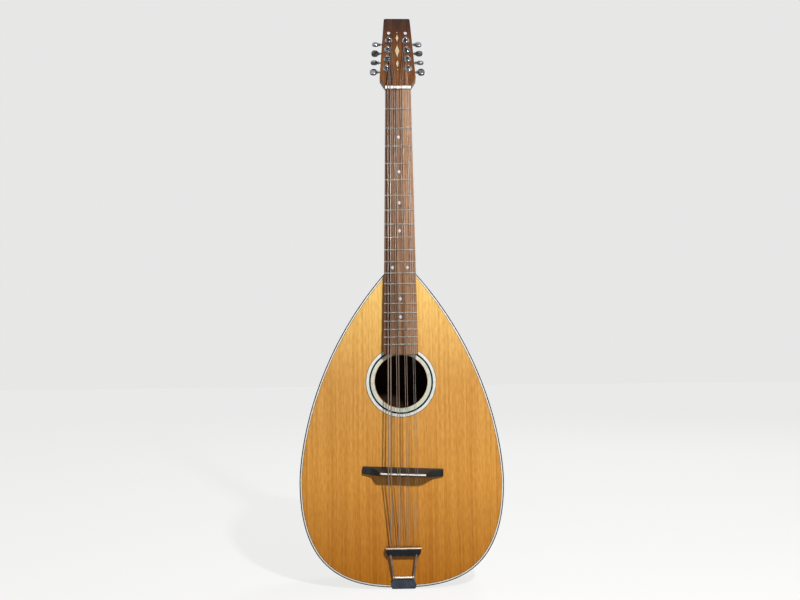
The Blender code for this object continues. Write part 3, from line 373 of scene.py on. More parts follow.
inside = HOLE_RADIUS + ROSETTE_LIP
inner_shell = skin("rosette_inner_shell", grey_pearl, [
    hole_ring(inside, ROSETTE_DEPTH),
    hole_ring(inside, HAIR),
    hole_ring(inside + HAIR, 0.0),
    hole_ring(RING_EDGES[0] - HAIR, 0.0, ROSETTE_BELOW_JOINT),
    hole_ring(RING_EDGES[0], HAIR, ROSETTE_BELOW_JOINT),
    hole_ring(RING_EDGES[0], ROSETTE_DEPTH, ROSETTE_BELOW_JOINT),
], looped=True)
fit(inner_shell, "pearl_rosette", "rosette")
rosette_centre = BODY @ Matrix.Translation((0.0, 0.0, -ROSETTE_BELOW_JOINT))
for name, finish, inner, outer in zip(
    ("rosette_black_line", "rosette_outer_shell", "rosette_edge_line"),
    (black_fibre, pearl, black_fibre), RING_EDGES, RING_EDGES[1:],
):
    profile = ((inner, ROSETTE_DEPTH), (inner, HAIR), (inner + HAIR, 0.0),
               (outer - HAIR, 0.0), (outer, HAIR), (outer, ROSETTE_DEPTH))
    fit(turned(name, finish, profile, rosette_centre, 128), "pearl_rosette")


# Ribs and linings
# The ribs are mahogany, bent over a hot iron to the outline and joined at the tail. Kerfed strips of
# lime are glued inside along both edges, to give the soundboard and the back a ledge to be glued to.
DEPTH_AT_JOINT = 0.078
DEPTH_AT_TAIL = 0.090
RIB_THICKNESS = 0.0024
BACK_THICKNESS = 0.0028
BINDING_DEPTH = 0.0055
LINING_WIDTH = 0.0105
LINING_HEIGHT = 0.012
MAHOGANY_PORE = (0.05, 0.018, 0.010)


def back_depth(z):
    return DEPTH_AT_JOINT - (DEPTH_AT_TAIL - DEPTH_AT_JOINT) * z / BODY_LENGTH


def rear(distance):
    return lambda z: back_depth(z) - distance


def wood(name, pale, deep, pore, ring_gap, gloss, shine=0.5, across=45.0, matched=False):
    """Wood with slow streaks of colour, growth rings and short open pores along Z."""
    finish, shader = new_finish(name, {"Specular IOR Level": shine})
    place = bookmatched(shader)[0] if matched else own_place(shader)
    streaks = cloud(place, (across, across, 2.6), 4.0)
    rings = year_rings(place, ring_gap, 5.0)
    pores = cloud(place, (1500.0, 1500.0, 75.0))
    colour = ramp(streaks, ((0.3, deep), (0.7, pale)))
    colour = mixed(between(rings, 0.0, 0.45, 0.4, 1.0), colour, opaque(deep))
    colour = mixed(between(pores, 0.85, 0.0, 0.30, 0.44), colour, opaque(pore))
    feed(shader, between(streaks, gloss, gloss + 0.12), colour, pores, 0.00005)
    return finish


def second_finish(made, finish, faces):
    """Give the faces with these numbers a finish of their own."""
    made.data.materials.append(finish)
    for i in faces:
        made.data.polygons[i].material_index = 1


def band(name, finish, section, side):
    """A strip that runs round the body, its section in (inset, depth) from the front or the back."""
    return skin(name, finish, [rim_ring(inset, side(depth)) for inset, depth in section], looped=True)


mahogany = wood("varnished_mahogany", pale=(0.27, 0.105, 0.042), deep=(0.13, 0.042, 0.017),
                pore=MAHOGANY_PORE, ring_gap=0.006, gloss=0.3, matched=True)
# The inside of the box is painted near black. This is painted shade inside the closed body, not the mahogany's own
# colour.
painted_shade_mahogany = wood("painted_shade_mahogany", pale=(0.030, 0.016, 0.010), deep=(0.017, 0.009, 0.006),
                     pore=MAHOGANY_PORE, ring_gap=0.006, gloss=0.75, shine=0.1)
lime = wood("bare_lime", pale=(0.52, 0.36, 0.19), deep=(0.40, 0.26, 0.13), pore=(0.26, 0.16, 0.08),
            ring_gap=0.003, gloss=0.6, shine=0.2)

ribs = skin("ribs", mahogany, [
    rim_ring(inset, side(BINDING_DEPTH))
    for inset, side in ((0.0, level), (RIB_THICKNESS, level), (RIB_THICKNESS, rear), (0.0, rear))
], looped=True)
count = len(outline)
# The ribs' inside faces take the painted shade.
second_finish(ribs, painted_shade_mahogany, range(count, 2 * count))
fit(ribs, "mahogany", "sides")
for name, side, board in (("lining_top", level, TOP_THICKNESS), ("lining_back", rear, BACK_THICKNESS)):
    section = ((BINDING_WIDTH, board), (LINING_WIDTH, board), (LINING_WIDTH, board + LINING_HEIGHT / 3),
               (RIB_THICKNESS, board + LINING_HEIGHT), (RIB_THICKNESS, BINDING_DEPTH),
               (BINDING_WIDTH, BINDING_DEPTH))
    fit(band(name, lime, section, side), "inner_wood")


# Blocks and braces
# A block of lime behind the neck and one at the tail join the ribs and take the neck's and the
# tailpiece's pull. Scalloped spruce bars stiffen the soundboard, and one of lime the back.
def refinish(name, finish, width):
    """Give a plain solid that stays a finish and rounded edges."""
    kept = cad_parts[name]
    kept.data.materials.clear()
    kept.data.materials.append(finish)
    soften(kept, width)


for name in ("neck_block", "tail_block", "top_brace_1", "top_brace_2", "back_brace_1"):
    refinish(name, lime, 0.001)


# Back
# Two bookmatched halves of mahogany with a narrow strip of black and pale wood between them, tapering
# in depth from the tail to the neck.
STRIP_HALF = 0.0026
STRIP_LINE = 0.0009
STRIP_PROUD = 0.00005
STRIP_DEPTH = 0.001


def oblong(left, right, low, high):
    """The corners of a rectangle."""
    return ((left, low), (right, low), (right, high), (left, high))


back = skin("back_plate", mahogany, [rim_ring(BINDING_WIDTH, rear(inset)) for inset in (0.0, BACK_THICKNESS)])
# The back's inside face takes the painted shade.
second_finish(back, painted_shade_mahogany, (count + 1,))
fit(back, "mahogany", "back")
line_edge = STRIP_HALF - STRIP_LINE
for name, finish, slot, left, right in (
    ("back_strip", lime, "inner_wood", -line_edge, line_edge),
    ("back_strip_left_line", black_fibre, "black_binding", -STRIP_HALF, -line_edge),
    ("back_strip_right_line", black_fibre, "black_binding", line_edge, STRIP_HALF),
):
    rings = []
    for z in (-BINDING_WIDTH, BINDING_WIDTH - BODY_LENGTH):
        face = back_depth(z) + STRIP_PROUD
        rings.append([(x, y, z) for x, y in oblong(left, right, face, face - STRIP_DEPTH)])
    fit(skin(name, finish, rings), slot)


# Bindings
# A strip of black celluloid round both edges guards the end grain, bent hot and glued into a rebate.
# Inside it a white line and a fine black one are let in beside the wood.
BLACK_STRIP = 0.0017
WHITE_STRIP = 0.0036
LINE_DEPTH = 0.0020
EDGE_ROUND = 0.0010
LINE_WHITE = (0.74, 0.72, 0.66)
LINE_YELLOWED = tuple(0.86 * c for c in LINE_WHITE)

white_line, shader = new_finish("white_line", {"Coat Weight": 0.2})
yellowing = cloud(own_place(shader), (60.0, 60.0, 25.0), 3.0)
feed(shader, between(yellowing, 0.3, 0.45), ramp(yellowing, ((0.3, LINE_WHITE), (0.7, LINE_YELLOWED))))

for edge, side in (("top", level), ("back", rear)):
    section = [(BLACK_STRIP, BINDING_DEPTH), (0.0, BINDING_DEPTH)]
    section += [(EDGE_ROUND * (1 - c), EDGE_ROUND * (1 - s)) for c, s in arc(pi / 2, 4)]
    section.append((BLACK_STRIP, 0.0))
    strip = band("binding_%s_black" % edge, black_fibre, section, side)
    fit(strip, "black_binding", "binding_" + edge)
    for name, finish, outer, inner in (
        ("binding_%s_white_line", white_line, BLACK_STRIP, WHITE_STRIP),
        ("binding_%s_black_line", black_fibre, WHITE_STRIP, BINDING_WIDTH),
    ):
        fit(band(name % edge, finish, oblong(outer, inner, 0.0, LINE_DEPTH), side), "black_binding")


# Neck
# One piece of mahogany, sawn so that the grain runs up it and carved to a round back, with a heel that
# seats on the body, a steel rod in a channel under the fretboard and a volute behind the nut, where the
# headstock leans back.
NECK_PITCH = radians(1.5)
HEAD_PITCH = radians(13.0)
NUT_THICKNESS = 0.0055
NECK_DEPTH_NUT = 0.0165
NECK_DEPTH_HEEL = 0.0185
HEEL_LENGTH = 0.066
HEEL_FOOT = 0.012
HEEL_TUCK = 0.004
HEEL_STEPS = 20
NECK_STEPS = 12
ARC_STEPS = 32
ARC_ACROSS = 0.9
ARC_DEEP = 0.85
ROD_HALF = 0.0033
ROD_DEPTH = 0.0098
ROD_LENGTH = 0.2906
HEAD_LENGTH = 0.149
SHOULDER_WIDTH = 0.0638
SHOULDER_RISE = 0.0205
THROAT_RISE = 0.003
HEAD_TOP_WIDTH = 0.0468
HEAD_ROUNDS = (0.0, 0.003, 0.006, 0.003)
HEAD_ROOT = 0.005
FACEPLATE_THICKNESS = 0.002
HEAD_BACK = 0.0143
HEAD_START = BODY_JOINT + NUT_THICKNESS
VOLUTE_LENGTH = 0.022
VOLUTE_OVERLAP = 0.006
VOLUTE_TOP = 0.006
VOLUTE_INSET = 0.0015
VOLUTE_TAPER = 0.0030
VOLUTE_SWELL = 0.0016
SUNK_IN_NECK = 0.0007
SUNK_IN_HEAD = 0.0003
STRING_COUNT = 8
POSTS_PER_SIDE = 4
FIRST_POST = 0.0392
POST_PITCH = 0.0202
POST_FROM_EDGE = 0.0114
SLEEVE_RADIUS = 0.0047
STRINGS = range(1, STRING_COUNT + 1)
CARVED_EDGE = radians(50.0)


def moved(x, y, z):
    return Matrix.Translation((x, y, z))


def spun(angle, axis):
    return Matrix.Rotation(angle, 4, axis)


NECK = BODY @ spun(-NECK_PITCH, "X")
HEAD = NECK @ moved(0.0, 0.0, HEAD_START) @ spun(-HEAD_PITCH, "X")


def rounded(corners, radii, steps=6):
    """A polygon with each corner rounded by its own radius."""
    points = []
    for i, radius in enumerate(radii):
        corner = Vector(corners[i])
        before = (Vector(corners[i - 1]) - corner).normalized()
        after = (Vector(corners[(i + 1) % len(corners)]) - corner).normalized()
        if radius <= 0:
            points.append(corner)
            continue
        half = before.angle(after) / 2
        middle = corner + (before + after).normalized() * (radius / sin(half))
        start = corner + before * (radius / tan(half)) - middle
        turn = pi - 2 * half
        if before.x * after.y - before.y * after.x > 0:
            turn = -turn
        points += [middle + Matrix.Rotation(turn * k / steps, 2) @ start for k in range(steps + 1)]
    return points


def plate(name, finish, outline, front, back, place):
    """An outline in X and Z made solid between two depths."""
    return skin(name, finish, [[(p[0], depth, p[1]) for p in outline] for depth in (front, back)], place)


def combine(made, others, operation):
    """Join other forms to a piece, or cut them out of it."""
    for other in others:
        boolean = made.modifiers.new("with", "BOOLEAN")
        boolean.operation = operation
        boolean.solver = "EXACT"
        boolean.object = other
    mesh = bpy.data.meshes.new_from_object(made.evaluated_get(bpy.context.evaluated_depsgraph_get()))
    made.modifiers.clear()
    made.data = smooth(mesh)
    for other in others:
        bpy.data.objects.remove(other, do_unlink=True)
    return made


def head_outline(foot):
    right = [(NUT_WIDTH / 2, foot), (NUT_WIDTH / 2, THROAT_RISE), (SHOULDER_WIDTH / 2, SHOULDER_RISE),
             (HEAD_TOP_WIDTH / 2, HEAD_LENGTH)]
    left = [(-x, t) for x, t in reversed(right)]
    return rounded(right + left, HEAD_ROUNDS + HEAD_ROUNDS[::-1])


def post_spot(number):
    """Side (-1 bass, +1 treble) and the place on the headstock of one string's post."""
    side = -1 if number <= POSTS_PER_SIDE else 1
    rank = number - 1 if side < 0 else STRING_COUNT - number
    rise = FIRST_POST + rank * POST_PITCH
    share = (rise - SHOULDER_RISE) / (HEAD_LENGTH - SHOULDER_RISE)
    half = (SHOULDER_WIDTH + (HEAD_TOP_WIDTH - SHOULDER_WIDTH) * share) / 2
    return side, side * (half - POST_FROM_EDGE), rise


def post_seat(number):
    side, x, rise = post_spot(number)
    return HEAD @ moved(x, 0.0, rise)


def post_holes(finish, front, back):
    profile = oblong(0.0, SLEEVE_RADIUS + CLEARANCE, front, back)
    return [turned("post_hole", finish, profile, post_seat(number), 32) for number in STRINGS]


def underside(s):
    share = min(max(s / BODY_JOINT, 0.0), 1.0)
    depth = NECK_DEPTH_HEEL + (NECK_DEPTH_NUT - NECK_DEPTH_HEEL) * share
    if s < HEEL_LENGTH:
        run = max(s - HEEL_FOOT, 0.0) / (HEEL_LENGTH - HEEL_FOOT)
        depth += (DEPTH_AT_JOINT - HEEL_TUCK - depth) * (1 - sqrt(1 - (1 - run) ** 2))
    return depth


def neck_ring(s, half, top, bottom):
    """A cross-section with a flat top and a round back, its foot lying in the plane of the body's end."""
    ring = []
    for across, deep in arc(pi, ARC_STEPS):
        y = top + (bottom - top) * max(deep, 0.0) ** ARC_DEEP
        x = half * copysign(abs(across) ** ARC_ACROSS, across)
        near = max(0.0, 1 - s / HEEL_LENGTH)
        lift = near * (CLEARANCE + y * sin(NECK_PITCH)) / cos(NECK_PITCH)
        ring.append((x, y, s + lift))
    return ring


stations = [0.0, HEEL_FOOT / 2]
stations += [HEEL_FOOT + (HEEL_LENGTH - HEEL_FOOT) * (1 - c) for c, s in arc(pi / 2, HEEL_STEPS)]
stations += [HEEL_LENGTH + (HEAD_START - HEEL_LENGTH) * i / NECK_STEPS for i in range(1, NECK_STEPS + 1)]
neck_rings = [neck_ring(s, half_width(s), 0.0, underside(s)) for s in stations]
neck = skin("neck_and_headstock", mahogany, neck_rings, NECK)
drop = tan(HEAD_PITCH) * VOLUTE_LENGTH
volute_rings = []
for share in (0.0, 0.2, 0.4, 0.6, 0.8, 1.0):
    s = HEAD_START - VOLUTE_OVERLAP + (VOLUTE_LENGTH + VOLUTE_OVERLAP) * share
    half = NUT_WIDTH / 2 - VOLUTE_INSET - VOLUTE_TAPER * share
    top = VOLUTE_TOP + (drop + HEAD_BACK / 2 - VOLUTE_TOP) * share
    bottom = NECK_DEPTH_NUT - SUNK_IN_NECK + (drop + HEAD_BACK - SUNK_IN_HEAD - NECK_DEPTH_NUT) * share
    volute_rings.append(neck_ring(s, half, top, bottom + VOLUTE_SWELL * sin(pi * share)))
volute = skin("volute", mahogany, volute_rings, NECK)
head = plate("head", mahogany, head_outline(-HEAD_ROOT), FACEPLATE_THICKNESS, HEAD_BACK, HEAD)
combine(neck, [volute, head], "UNION")
rod_low = (BODY_JOINT - ROD_LENGTH) / 2
rod_space = oblong(-ROD_HALF, ROD_HALF, rod_low, rod_low + ROD_LENGTH)
channel = plate("rod_channel", mahogany, rod_space, -ROD_DEPTH, ROD_DEPTH, NECK)
combine(neck, [channel, *post_holes(mahogany, -0.01, 0.025)], "DIFFERENCE")
soften(neck, 0.0006, angle=CARVED_EDGE)
fit(neck, "mahogany", "neck")


def metal(name, colour, roughness, smudge_and_reflection_dark):
    """Bright metal with slow dark patches, partly a film of handling and partly painted dark reflection, and fine
    scratches along Z.
    """
    finish, shader = new_finish(name, {"Metallic": 1.0})
    place = own_place(shader)
    patches = cloud(place, (95.0, 95.0, 95.0), 3.0)
    scratches = cloud(place, (2600.0, 2600.0, 190.0))
    tone = ramp(patches, ((0.35, tuple(smudge_and_reflection_dark * c for c in colour)), (0.62, colour)))
    feed(shader, between(scratches, roughness, roughness + 0.12), tone, scratches, 0.000004)
    return finish


steel = metal("plain_steel", (0.40, 0.35, 0.31), roughness=0.22, smudge_and_reflection_dark=0.7)
refinish("truss_rod", steel, 0.0008)


# Headstock faceplate
# A 2 mm veneer of brown walnut glued over the front of the headstock and trimmed flush. A small
# lozenge design of pale shell is let into it, with two round shell dots above the posts.
# Painted shade: the faceplate darkens towards the top of the headstock.
WALNUT_PAINTED_SHADE = ((0.3, UNTINTED), (1.0, (0.24, 0.34, 0.90)), (0.6, (0.62, 0.58, 0.70)))
WALNUT_SHADE_FROM = 0.02
INLAY_PROUD = 0.00005
INLAY_DEPTH = 0.001
DOT_RADIUS = 0.0030
DOT_ACROSS = 0.0150
DOT_RISE = 0.1167
BEAD_RADIUS = 0.0010

walnut = wood("walnut_veneer", pale=(0.185, 0.068, 0.016), deep=(0.072, 0.024, 0.008),
              pore=(0.018, 0.009, 0.006), ring_gap=0.005, gloss=0.34, shine=0.15, across=90.0)


def along(finish, axis, start, end, tints):
    """Tint a finish along one axis, from start to end."""
    shader = finish.node_tree.nodes["Principled BSDF"]
    colour = shader.inputs["Base Color"]
    place = node(shader, "SeparateXYZ", {0: own_place(shader)}).outputs[axis]
    tint = ramp(between(place, 0.0, 1.0, start, end), tints)
    finish.node_tree.links.new(mixed(1.0, colour.links[0].from_socket, tint, "MULTIPLY"), colour)


# Painted shade on the veneer, darker towards the headstock's top.
along(walnut, 2, WALNUT_SHADE_FROM, (HEAD @ Vector((0.0, 0.0, HEAD_LENGTH))).z, WALNUT_PAINTED_SHADE)
cream_shell = shell_finish("cream_shell", (0.44, 0.36, 0.22), green=(0.35, 0.30, 0.18), rose=(0.47, 0.37, 0.25))
dim_pearl = shell_finish("dim_pearl", (0.50, 0.48, 0.52), green=(0.40, 0.42, 0.49), rose=(0.52, 0.44, 0.47))
foot = CLEARANCE + FACEPLATE_THICKNESS * tan(HEAD_PITCH)
faceplate = plate("headstock_veneer", walnut, head_outline(foot), 0.0, FACEPLATE_THICKNESS, HEAD)
combine(faceplate, post_holes(walnut, -0.01, 0.01), "DIFFERENCE")
soften(faceplate, 0.0004, angle=CARVED_EDGE)
fit(faceplate, "walnut", "headstock_faceplate")


def star(half_across, half_up, hollow, steps=8):
    """A four-pointed figure with hollow sides."""
    return [(half_across * copysign(abs(c) ** hollow, c), half_up * copysign(abs(s) ** hollow, s))
            for c, s in arc(2 * pi, 4 * steps)[:-1]]


def disc(radius, steps=24):
    return [(radius * c, radius * s) for c, s in arc(2 * pi, steps)[:-1]]


def inlay(name, finish, outline, x, rise, surface, place):
    """A thin figure let into a surface, a hair proud of it."""
    figure = [(p[0] + x, p[1] + rise) for p in outline]
    fit(plate(name, finish, figure, surface - INLAY_PROUD, surface + INLAY_DEPTH, place), "pearl_rosette")


for name, figure, finish, x, rise in (
    ("head_dot_bass", disc(DOT_RADIUS), dim_pearl, -DOT_ACROSS, DOT_RISE),
    ("head_dot_treble", disc(DOT_RADIUS), dim_pearl, DOT_ACROSS, DOT_RISE),
    ("head_lozenge_low", star(0.0024, 0.0078, 2.0), cream_shell, 0.0, 0.0500),
    ("head_lozenge_middle", star(0.0038, 0.0140, 2.2), cream_shell, 0.0, 0.0780),
    ("head_lozenge_high", star(0.0024, 0.0078, 2.0), cream_shell, 0.0, 0.1060),
    ("head_bead_low", disc(BEAD_RADIUS), cream_shell, 0.0, 0.0378),
    ("head_bead_high", disc(BEAD_RADIUS), cream_shell, 0.0, 0.1182),
):
    inlay(name, finish, figure, x, rise, 0.0, HEAD)


# Fretboard
# Rosewood, glued along the neck and thickened over the body to follow the flat soundboard. Its twenty
# wires are drawn nickel silver with a round crown, hammered into sawn slots and filed off at the
# edges. Small shell stars mark the usual places between the wires.
FRETBOARD_THICKNESS = 0.006
FRET_COUNT = 20
FRET_HALF = 0.0012
FRET_HEIGHT = 0.0011
FRET_SUNK = 0.0005
FRET_END_SLOPE = 0.7
MARKED_FRETS = (3, 5, 7, 9, 12, 15, 17)
DOUBLE_MARK = 12
DOUBLE_MARK_APART = 0.0125
FILLER_SUNK = 0.00003
# Painted shade across the board: darker on the bass side, where the bass strings' shadows fall.
ROSEWOOD_PAINTED_SHADE = ((0.1, (0.44, 0.37, 0.36)), (0.8, UNTINTED), (0.35, (0.78, 0.74, 0.70)))

rosewood = wood("rosewood", pale=(0.42, 0.235, 0.125), deep=(0.14, 0.066, 0.036), pore=(0.045, 0.019, 0.012),
                ring_gap=0.0045, gloss=0.45, shine=0.2, across=150.0)
# Painted shade of the bass strings on the board's bass side.
along(rosewood, 0, -NUT_WIDTH / 2, NUT_WIDTH / 2, ROSEWOOD_PAINTED_SHADE)
nickel = metal("fret_nickel", (0.50, 0.49, 0.45), roughness=0.18, smudge_and_reflection_dark=0.75)
start = BODY_JOINT - CLEARANCE
end = (HOLE_RADIUS - HOLE_BELOW_JOINT) / cos(NECK_PITCH) + CLEARANCE
side_view = ((start, 0.0), (start, -FRETBOARD_THICKNESS), (end, -FRETBOARD_THICKNESS),
             (end, end * tan(NECK_PITCH)), (0.0, 0.0))
rings = [[(side * half_width(s), y, s) for s, y in side_view] for side in (-1, 1)]
fretboard = skin("rosewood_fretboard", rosewood, rings, NECK)
soften(fretboard, 0.0005)
fit(fretboard, "rosewood", "fretboard")


def fret_place(number):
    return BODY_JOINT - SCALE_LENGTH * (1 - 2 ** (-number / 12))


for number in range(1, FRET_COUNT + 1):
    s = fret_place(number)
    rings = []
    for side in (-1, 1):
        ring = [(side * half_width(s), FRET_SUNK - FRETBOARD_THICKNESS, s + k * FRET_HALF) for k in (1, -1)]
        for across, crown in arc(pi, 10):
            up = FRET_HEIGHT * crown
            x = side * (half_width(s) - FRET_END_SLOPE * up)
            ring.append((x, -FRETBOARD_THICKNESS - up, s - across * FRET_HALF))
        rings.append(ring)
    fit(skin("fret_%d" % number, nickel, rings, NECK), "steel")

for number in MARKED_FRETS:
    s = (fret_place(number - 1) + fret_place(number)) / 2
    name = "position_mark_%d" % number
    spots = {name + "_a": -DOUBLE_MARK_APART, name + "_b": DOUBLE_MARK_APART} if number == DOUBLE_MARK else {name: 0.0}
    for name, x in spots.items():
        inlay(name, dim_pearl, star(0.0030, 0.0037, 1.8), x, s, -FRETBOARD_THICKNESS, NECK)
        filler = star(0.0036, 0.0044, 1.7)
        inlay(name + "_filler", black_fibre, filler, x, s, FILLER_SUNK - FRETBOARD_THICKNESS, NECK)


# Nut
# A blank of bleached bone glued between fretboard and faceplate, filed down towards the headstock and
# slotted with a fine round file for each string.
FRET_PLANE = FRETBOARD_THICKNESS + FRET_HEIGHT
NUT_PROUD = 0.0014
NUT_FALL = 0.0009
NUT_EASE = 0.0002
NUT_CORNER = 0.0004
STRING_RISE_AT_NUT = 0.0004
GAUGES = (0.00188, 0.00122, 0.00086, 0.00056)
NUT_COURSES = 0.0105
NUT_PAIR_CLEAR = 0.0022
BONE_TONES = ((0.34, (0.69, 0.68, 0.63)), (0.6, (0.77, 0.78, 0.76)))
BONE_DEPTH = {"Coat Weight": 0.15, "Subsurface Weight": 0.1, "Subsurface Scale": 0.001}

bone, shader = new_finish("bleached_bone", BONE_DEPTH)
marrow = cloud(own_place(shader), (420.0, 420.0, 110.0), 4.0)
feed(shader, between(marrow, 0.28, 0.42), ramp(marrow, BONE_TONES), marrow, 0.00003)


def gauge(number):
    return GAUGES[(number - 1) // 2]


def string_across(number, courses, clear):
    """How far a string lies from the centre line, in four courses of two."""
    course = ((number - 1) // 2 - (len(GAUGES) - 1) / 2) * courses
    half_pair = (gauge(number) + clear) / 2
    return course + (half_pair if number % 2 == 0 else -half_pair)


def nut_profile(fall, shrink):
    """The nut's section across the strings, with a round-bottomed slot for each."""
    crest = -FRET_PLANE - NUT_PROUD + fall
    floor = -FRET_PLANE - STRING_RISE_AT_NUT + CLEARANCE
    half = NUT_WIDTH / 2 - shrink
    profile = [(half, -HAIR), (-half, -HAIR), (-half, crest + NUT_CORNER), (-half + NUT_CORNER, crest)]
    for number in STRINGS:
        x = string_across(number, NUT_COURSES, NUT_PAIR_CLEAR)
        wide = gauge(number) / 2 + CLEARANCE / 2
        top = max(min(crest, floor - wide) + HAIR / 10, crest)
        profile.append((x - wide, crest))
        profile += [(x - wide * across, top + (floor - top) * deep) for across, deep in arc(pi, 6)]
        profile.append((x + wide, crest))
    return profile + [(half - NUT_CORNER, crest), (half, crest + NUT_CORNER)]


nut_rings = []
for share, ease in ((0.0, NUT_EASE), (0.06, 0.0), (0.35, 0.0), (0.65, 0.0), (0.85, 0.0), (1.0, NUT_EASE)):
    fall = NUT_FALL * share ** 2 + (NUT_EASE if share == 0.0 else 0.0)
    s = BODY_JOINT + share * (NUT_THICKNESS - CLEARANCE)
    nut_rings.append([(x, y, s) for x, y in nut_profile(fall, ease)])
fit(skin("bone_nut", bone, nut_rings, NECK), "bone", "nut")


# Bridge and saddle
# The bridge is carved from ebony and stands loose on the soundboard, held by the strings, a little
# askew to true the bass courses. Its wings slope down to thin feet. The bone saddle sits in a slot
# along the crest.
BRIDGE_BELOW_JOINT = 0.331
BRIDGE_SHIFT = 0.0015
BRIDGE_SKEW = radians(2.5)
BRIDGE_HALF = 0.0663
CREST_HALF = 0.0395
CREST_RIDGE = 0.0030
CREST_HEIGHT = 0.0158
BASE_ABOVE = 0.0092
BASE_BELOW = 0.0058
FOOT_EDGE = 0.0016
WING_RUN = 0.0155
WING_HEIGHT = 0.0050
WING_BELOW = 0.0042
TIP_HEIGHT = 0.0044
TIP_BELOW = 0.0026
TIP_LENGTH = 0.005
EDGE_SLOPE = 0.0012
WING_STEPS = 8
SADDLE_HALF = 0.0370
SADDLE_HALF_THICKNESS = 0.0012
SADDLE_SET = 0.0045
SADDLE_END = 0.003
SADDLE_END_FALL = 0.0012
SADDLE_ROUND = ((-1.0, 0.0006), (-0.7, 0.0002), (0.0, 0.0), (0.7, 0.0002), (1.0, 0.0006))
ACTION_AT_JOINT = 0.0025


def string_bottom(s):
    """Depth of the strings' undersides in front of the neck's plane."""
    at_nut = FRET_PLANE + STRING_RISE_AT_NUT
    at_joint = FRET_PLANE + ACTION_AT_JOINT
    return at_joint + (at_nut - at_joint) * s / BODY_JOINT


ebony = wood("ebony", pale=(0.026, 0.032, 0.034), deep=(0.008, 0.009, 0.012), pore=(0.004, 0.004, 0.005),
             ring_gap=0.003, gloss=0.3, shine=0.18)
SADDLE_TOP = string_bottom(-BRIDGE_BELOW_JOINT) + BRIDGE_BELOW_JOINT * sin(NECK_PITCH) - CLEARANCE
BRIDGE = BODY @ moved(BRIDGE_SHIFT, -CLEARANCE, -BRIDGE_BELOW_JOINT) @ spun(BRIDGE_SKEW, "Y")


def bridge_section(x):
    """The bridge's cross-section: a ridge with the saddle, a long slope above and steep wings."""
    out = max(0.0, abs(x) - CREST_HALF)
    fall = min(out / WING_RUN, 1.0)
    curve = fall * (1.5 - 0.5 * fall * fall)
    tip = max(0.0, (out - WING_RUN) / (BRIDGE_HALF - CREST_HALF - WING_RUN))
    height = CREST_HEIGHT + (WING_HEIGHT - CREST_HEIGHT) * curve + (TIP_HEIGHT - WING_HEIGHT) * tip
    below = BASE_BELOW + (WING_BELOW - BASE_BELOW) * fall + (TIP_BELOW - WING_BELOW) * tip
    lean = (height - TIP_HEIGHT) / (CREST_HEIGHT - TIP_HEIGHT)
    top_above = BASE_ABOVE - EDGE_SLOPE + (CREST_RIDGE - BASE_ABOVE + EDGE_SLOPE) * lean
    top_below = below - EDGE_SLOPE + (CREST_RIDGE - below + EDGE_SLOPE) * lean
    edges = ((BASE_ABOVE, 0.0), (BASE_ABOVE, FOOT_EDGE), (top_above, height),
             (-top_below, height), (-below, FOOT_EDGE), (-below, 0.0))
    return [(x, -y, z) for z, y in edges]


wing = [CREST_HALF + WING_RUN * i / WING_STEPS for i in range(WING_STEPS + 1)]
wing += [BRIDGE_HALF - TIP_LENGTH, BRIDGE_HALF]
crest = [CREST_HALF * (i / 6 - 1) for i in range(1, 12)]
bridge_rings = [bridge_section(x) for x in [-x for x in reversed(wing)] + crest + wing]
bridge = skin("ebony_bridge", ebony, bridge_rings, BRIDGE)
slot_floor = CREST_HEIGHT - SADDLE_SET
half = SADDLE_HALF + HAIR
thick = SADDLE_HALF_THICKNESS + HAIR
saddle_slot = oblong(-half, half, -thick, thick)
slot = plate("saddle_slot", ebony, saddle_slot, -SADDLE_TOP - 0.002, -slot_floor, BRIDGE)
combine(bridge, [slot], "DIFFERENCE")
soften(bridge, 0.0005, 3)
fit(bridge, "ebony", "bridge")

saddle_outline = []
for x in [SADDLE_HALF * (i / 12 - 1) for i in range(25)]:
    fall = SADDLE_END_FALL * max(0.0, (abs(x) - SADDLE_HALF + SADDLE_END) / SADDLE_END) ** 2
    saddle_outline.append((x, -SADDLE_TOP + HAIR + fall))
saddle_outline += [(SADDLE_HALF, -slot_floor), (-SADDLE_HALF, -slot_floor)]
saddle_rings = [[(x, min(y + fall, -slot_floor), z * SADDLE_HALF_THICKNESS) for x, y in saddle_outline]
                for z, fall in SADDLE_ROUND]
fit(skin("bone_saddle", bone, saddle_rings, BRIDGE), "bone", "saddle")


# Tuning machines
# Eight chromed machines, four a side. A die-cast housing screwed to the back holds a steel worm and
# wheel of 14 teeth. The wheel turns the post, which comes out through a threaded bushing with a washer
# on the face, and the worm's shaft carries an oval button.
WASHER_RADIUS = 0.0068
POST_RADIUS = 0.0025
POST_WAIST = 0.0023
POST_HEIGHT = 0.0093
STRING_HOLE_HEIGHT = 0.0056
STRING_HOLE_RADIUS = 0.0011
BUSHING_TOP = 0.0024
BUSHING_FOOT = 0.009
WHEEL_TEETH = 14
TOOTH_PITCH = 0.0020
ADDENDUM = 0.0005
DEDENDUM = 0.0008
TOOTH_SLOPE = radians(20.0)
WHEEL_THICKNESS = 0.0032
WORM_PITCH_RADIUS = 0.00225
WORM_TURNS = 2
WORM_STEPS = 16
HOUSING_WALL = 0.0014
HOUSING_CORNER = 0.0028
SHAFT_RADIUS = 0.0016
BUTTON_START = 0.0170
BUTTON_REACH = 0.0130
BUTTON_WIDTH = 0.0178
BUTTON_THICKNESS = 0.0080
BUTTON_ROUNDNESS = 2.6
BUTTON_STEPS = 40
BUTTON_TURNS = (70.0, 25.0, 5.0, 50.0, 60.0, 15.0, 40.0, 75.0)
BUTTON_SHARES = (0.02, 0.06, 0.12, 0.2, 0.3, 0.4, 0.5, 0.6, 0.7, 0.8, 0.88, 0.94, 0.98, 1.0)
COLLAR_RADIUS = 0.0030
COLLAR_LENGTH = 0.0022
COLLAR_EASE = 0.0004
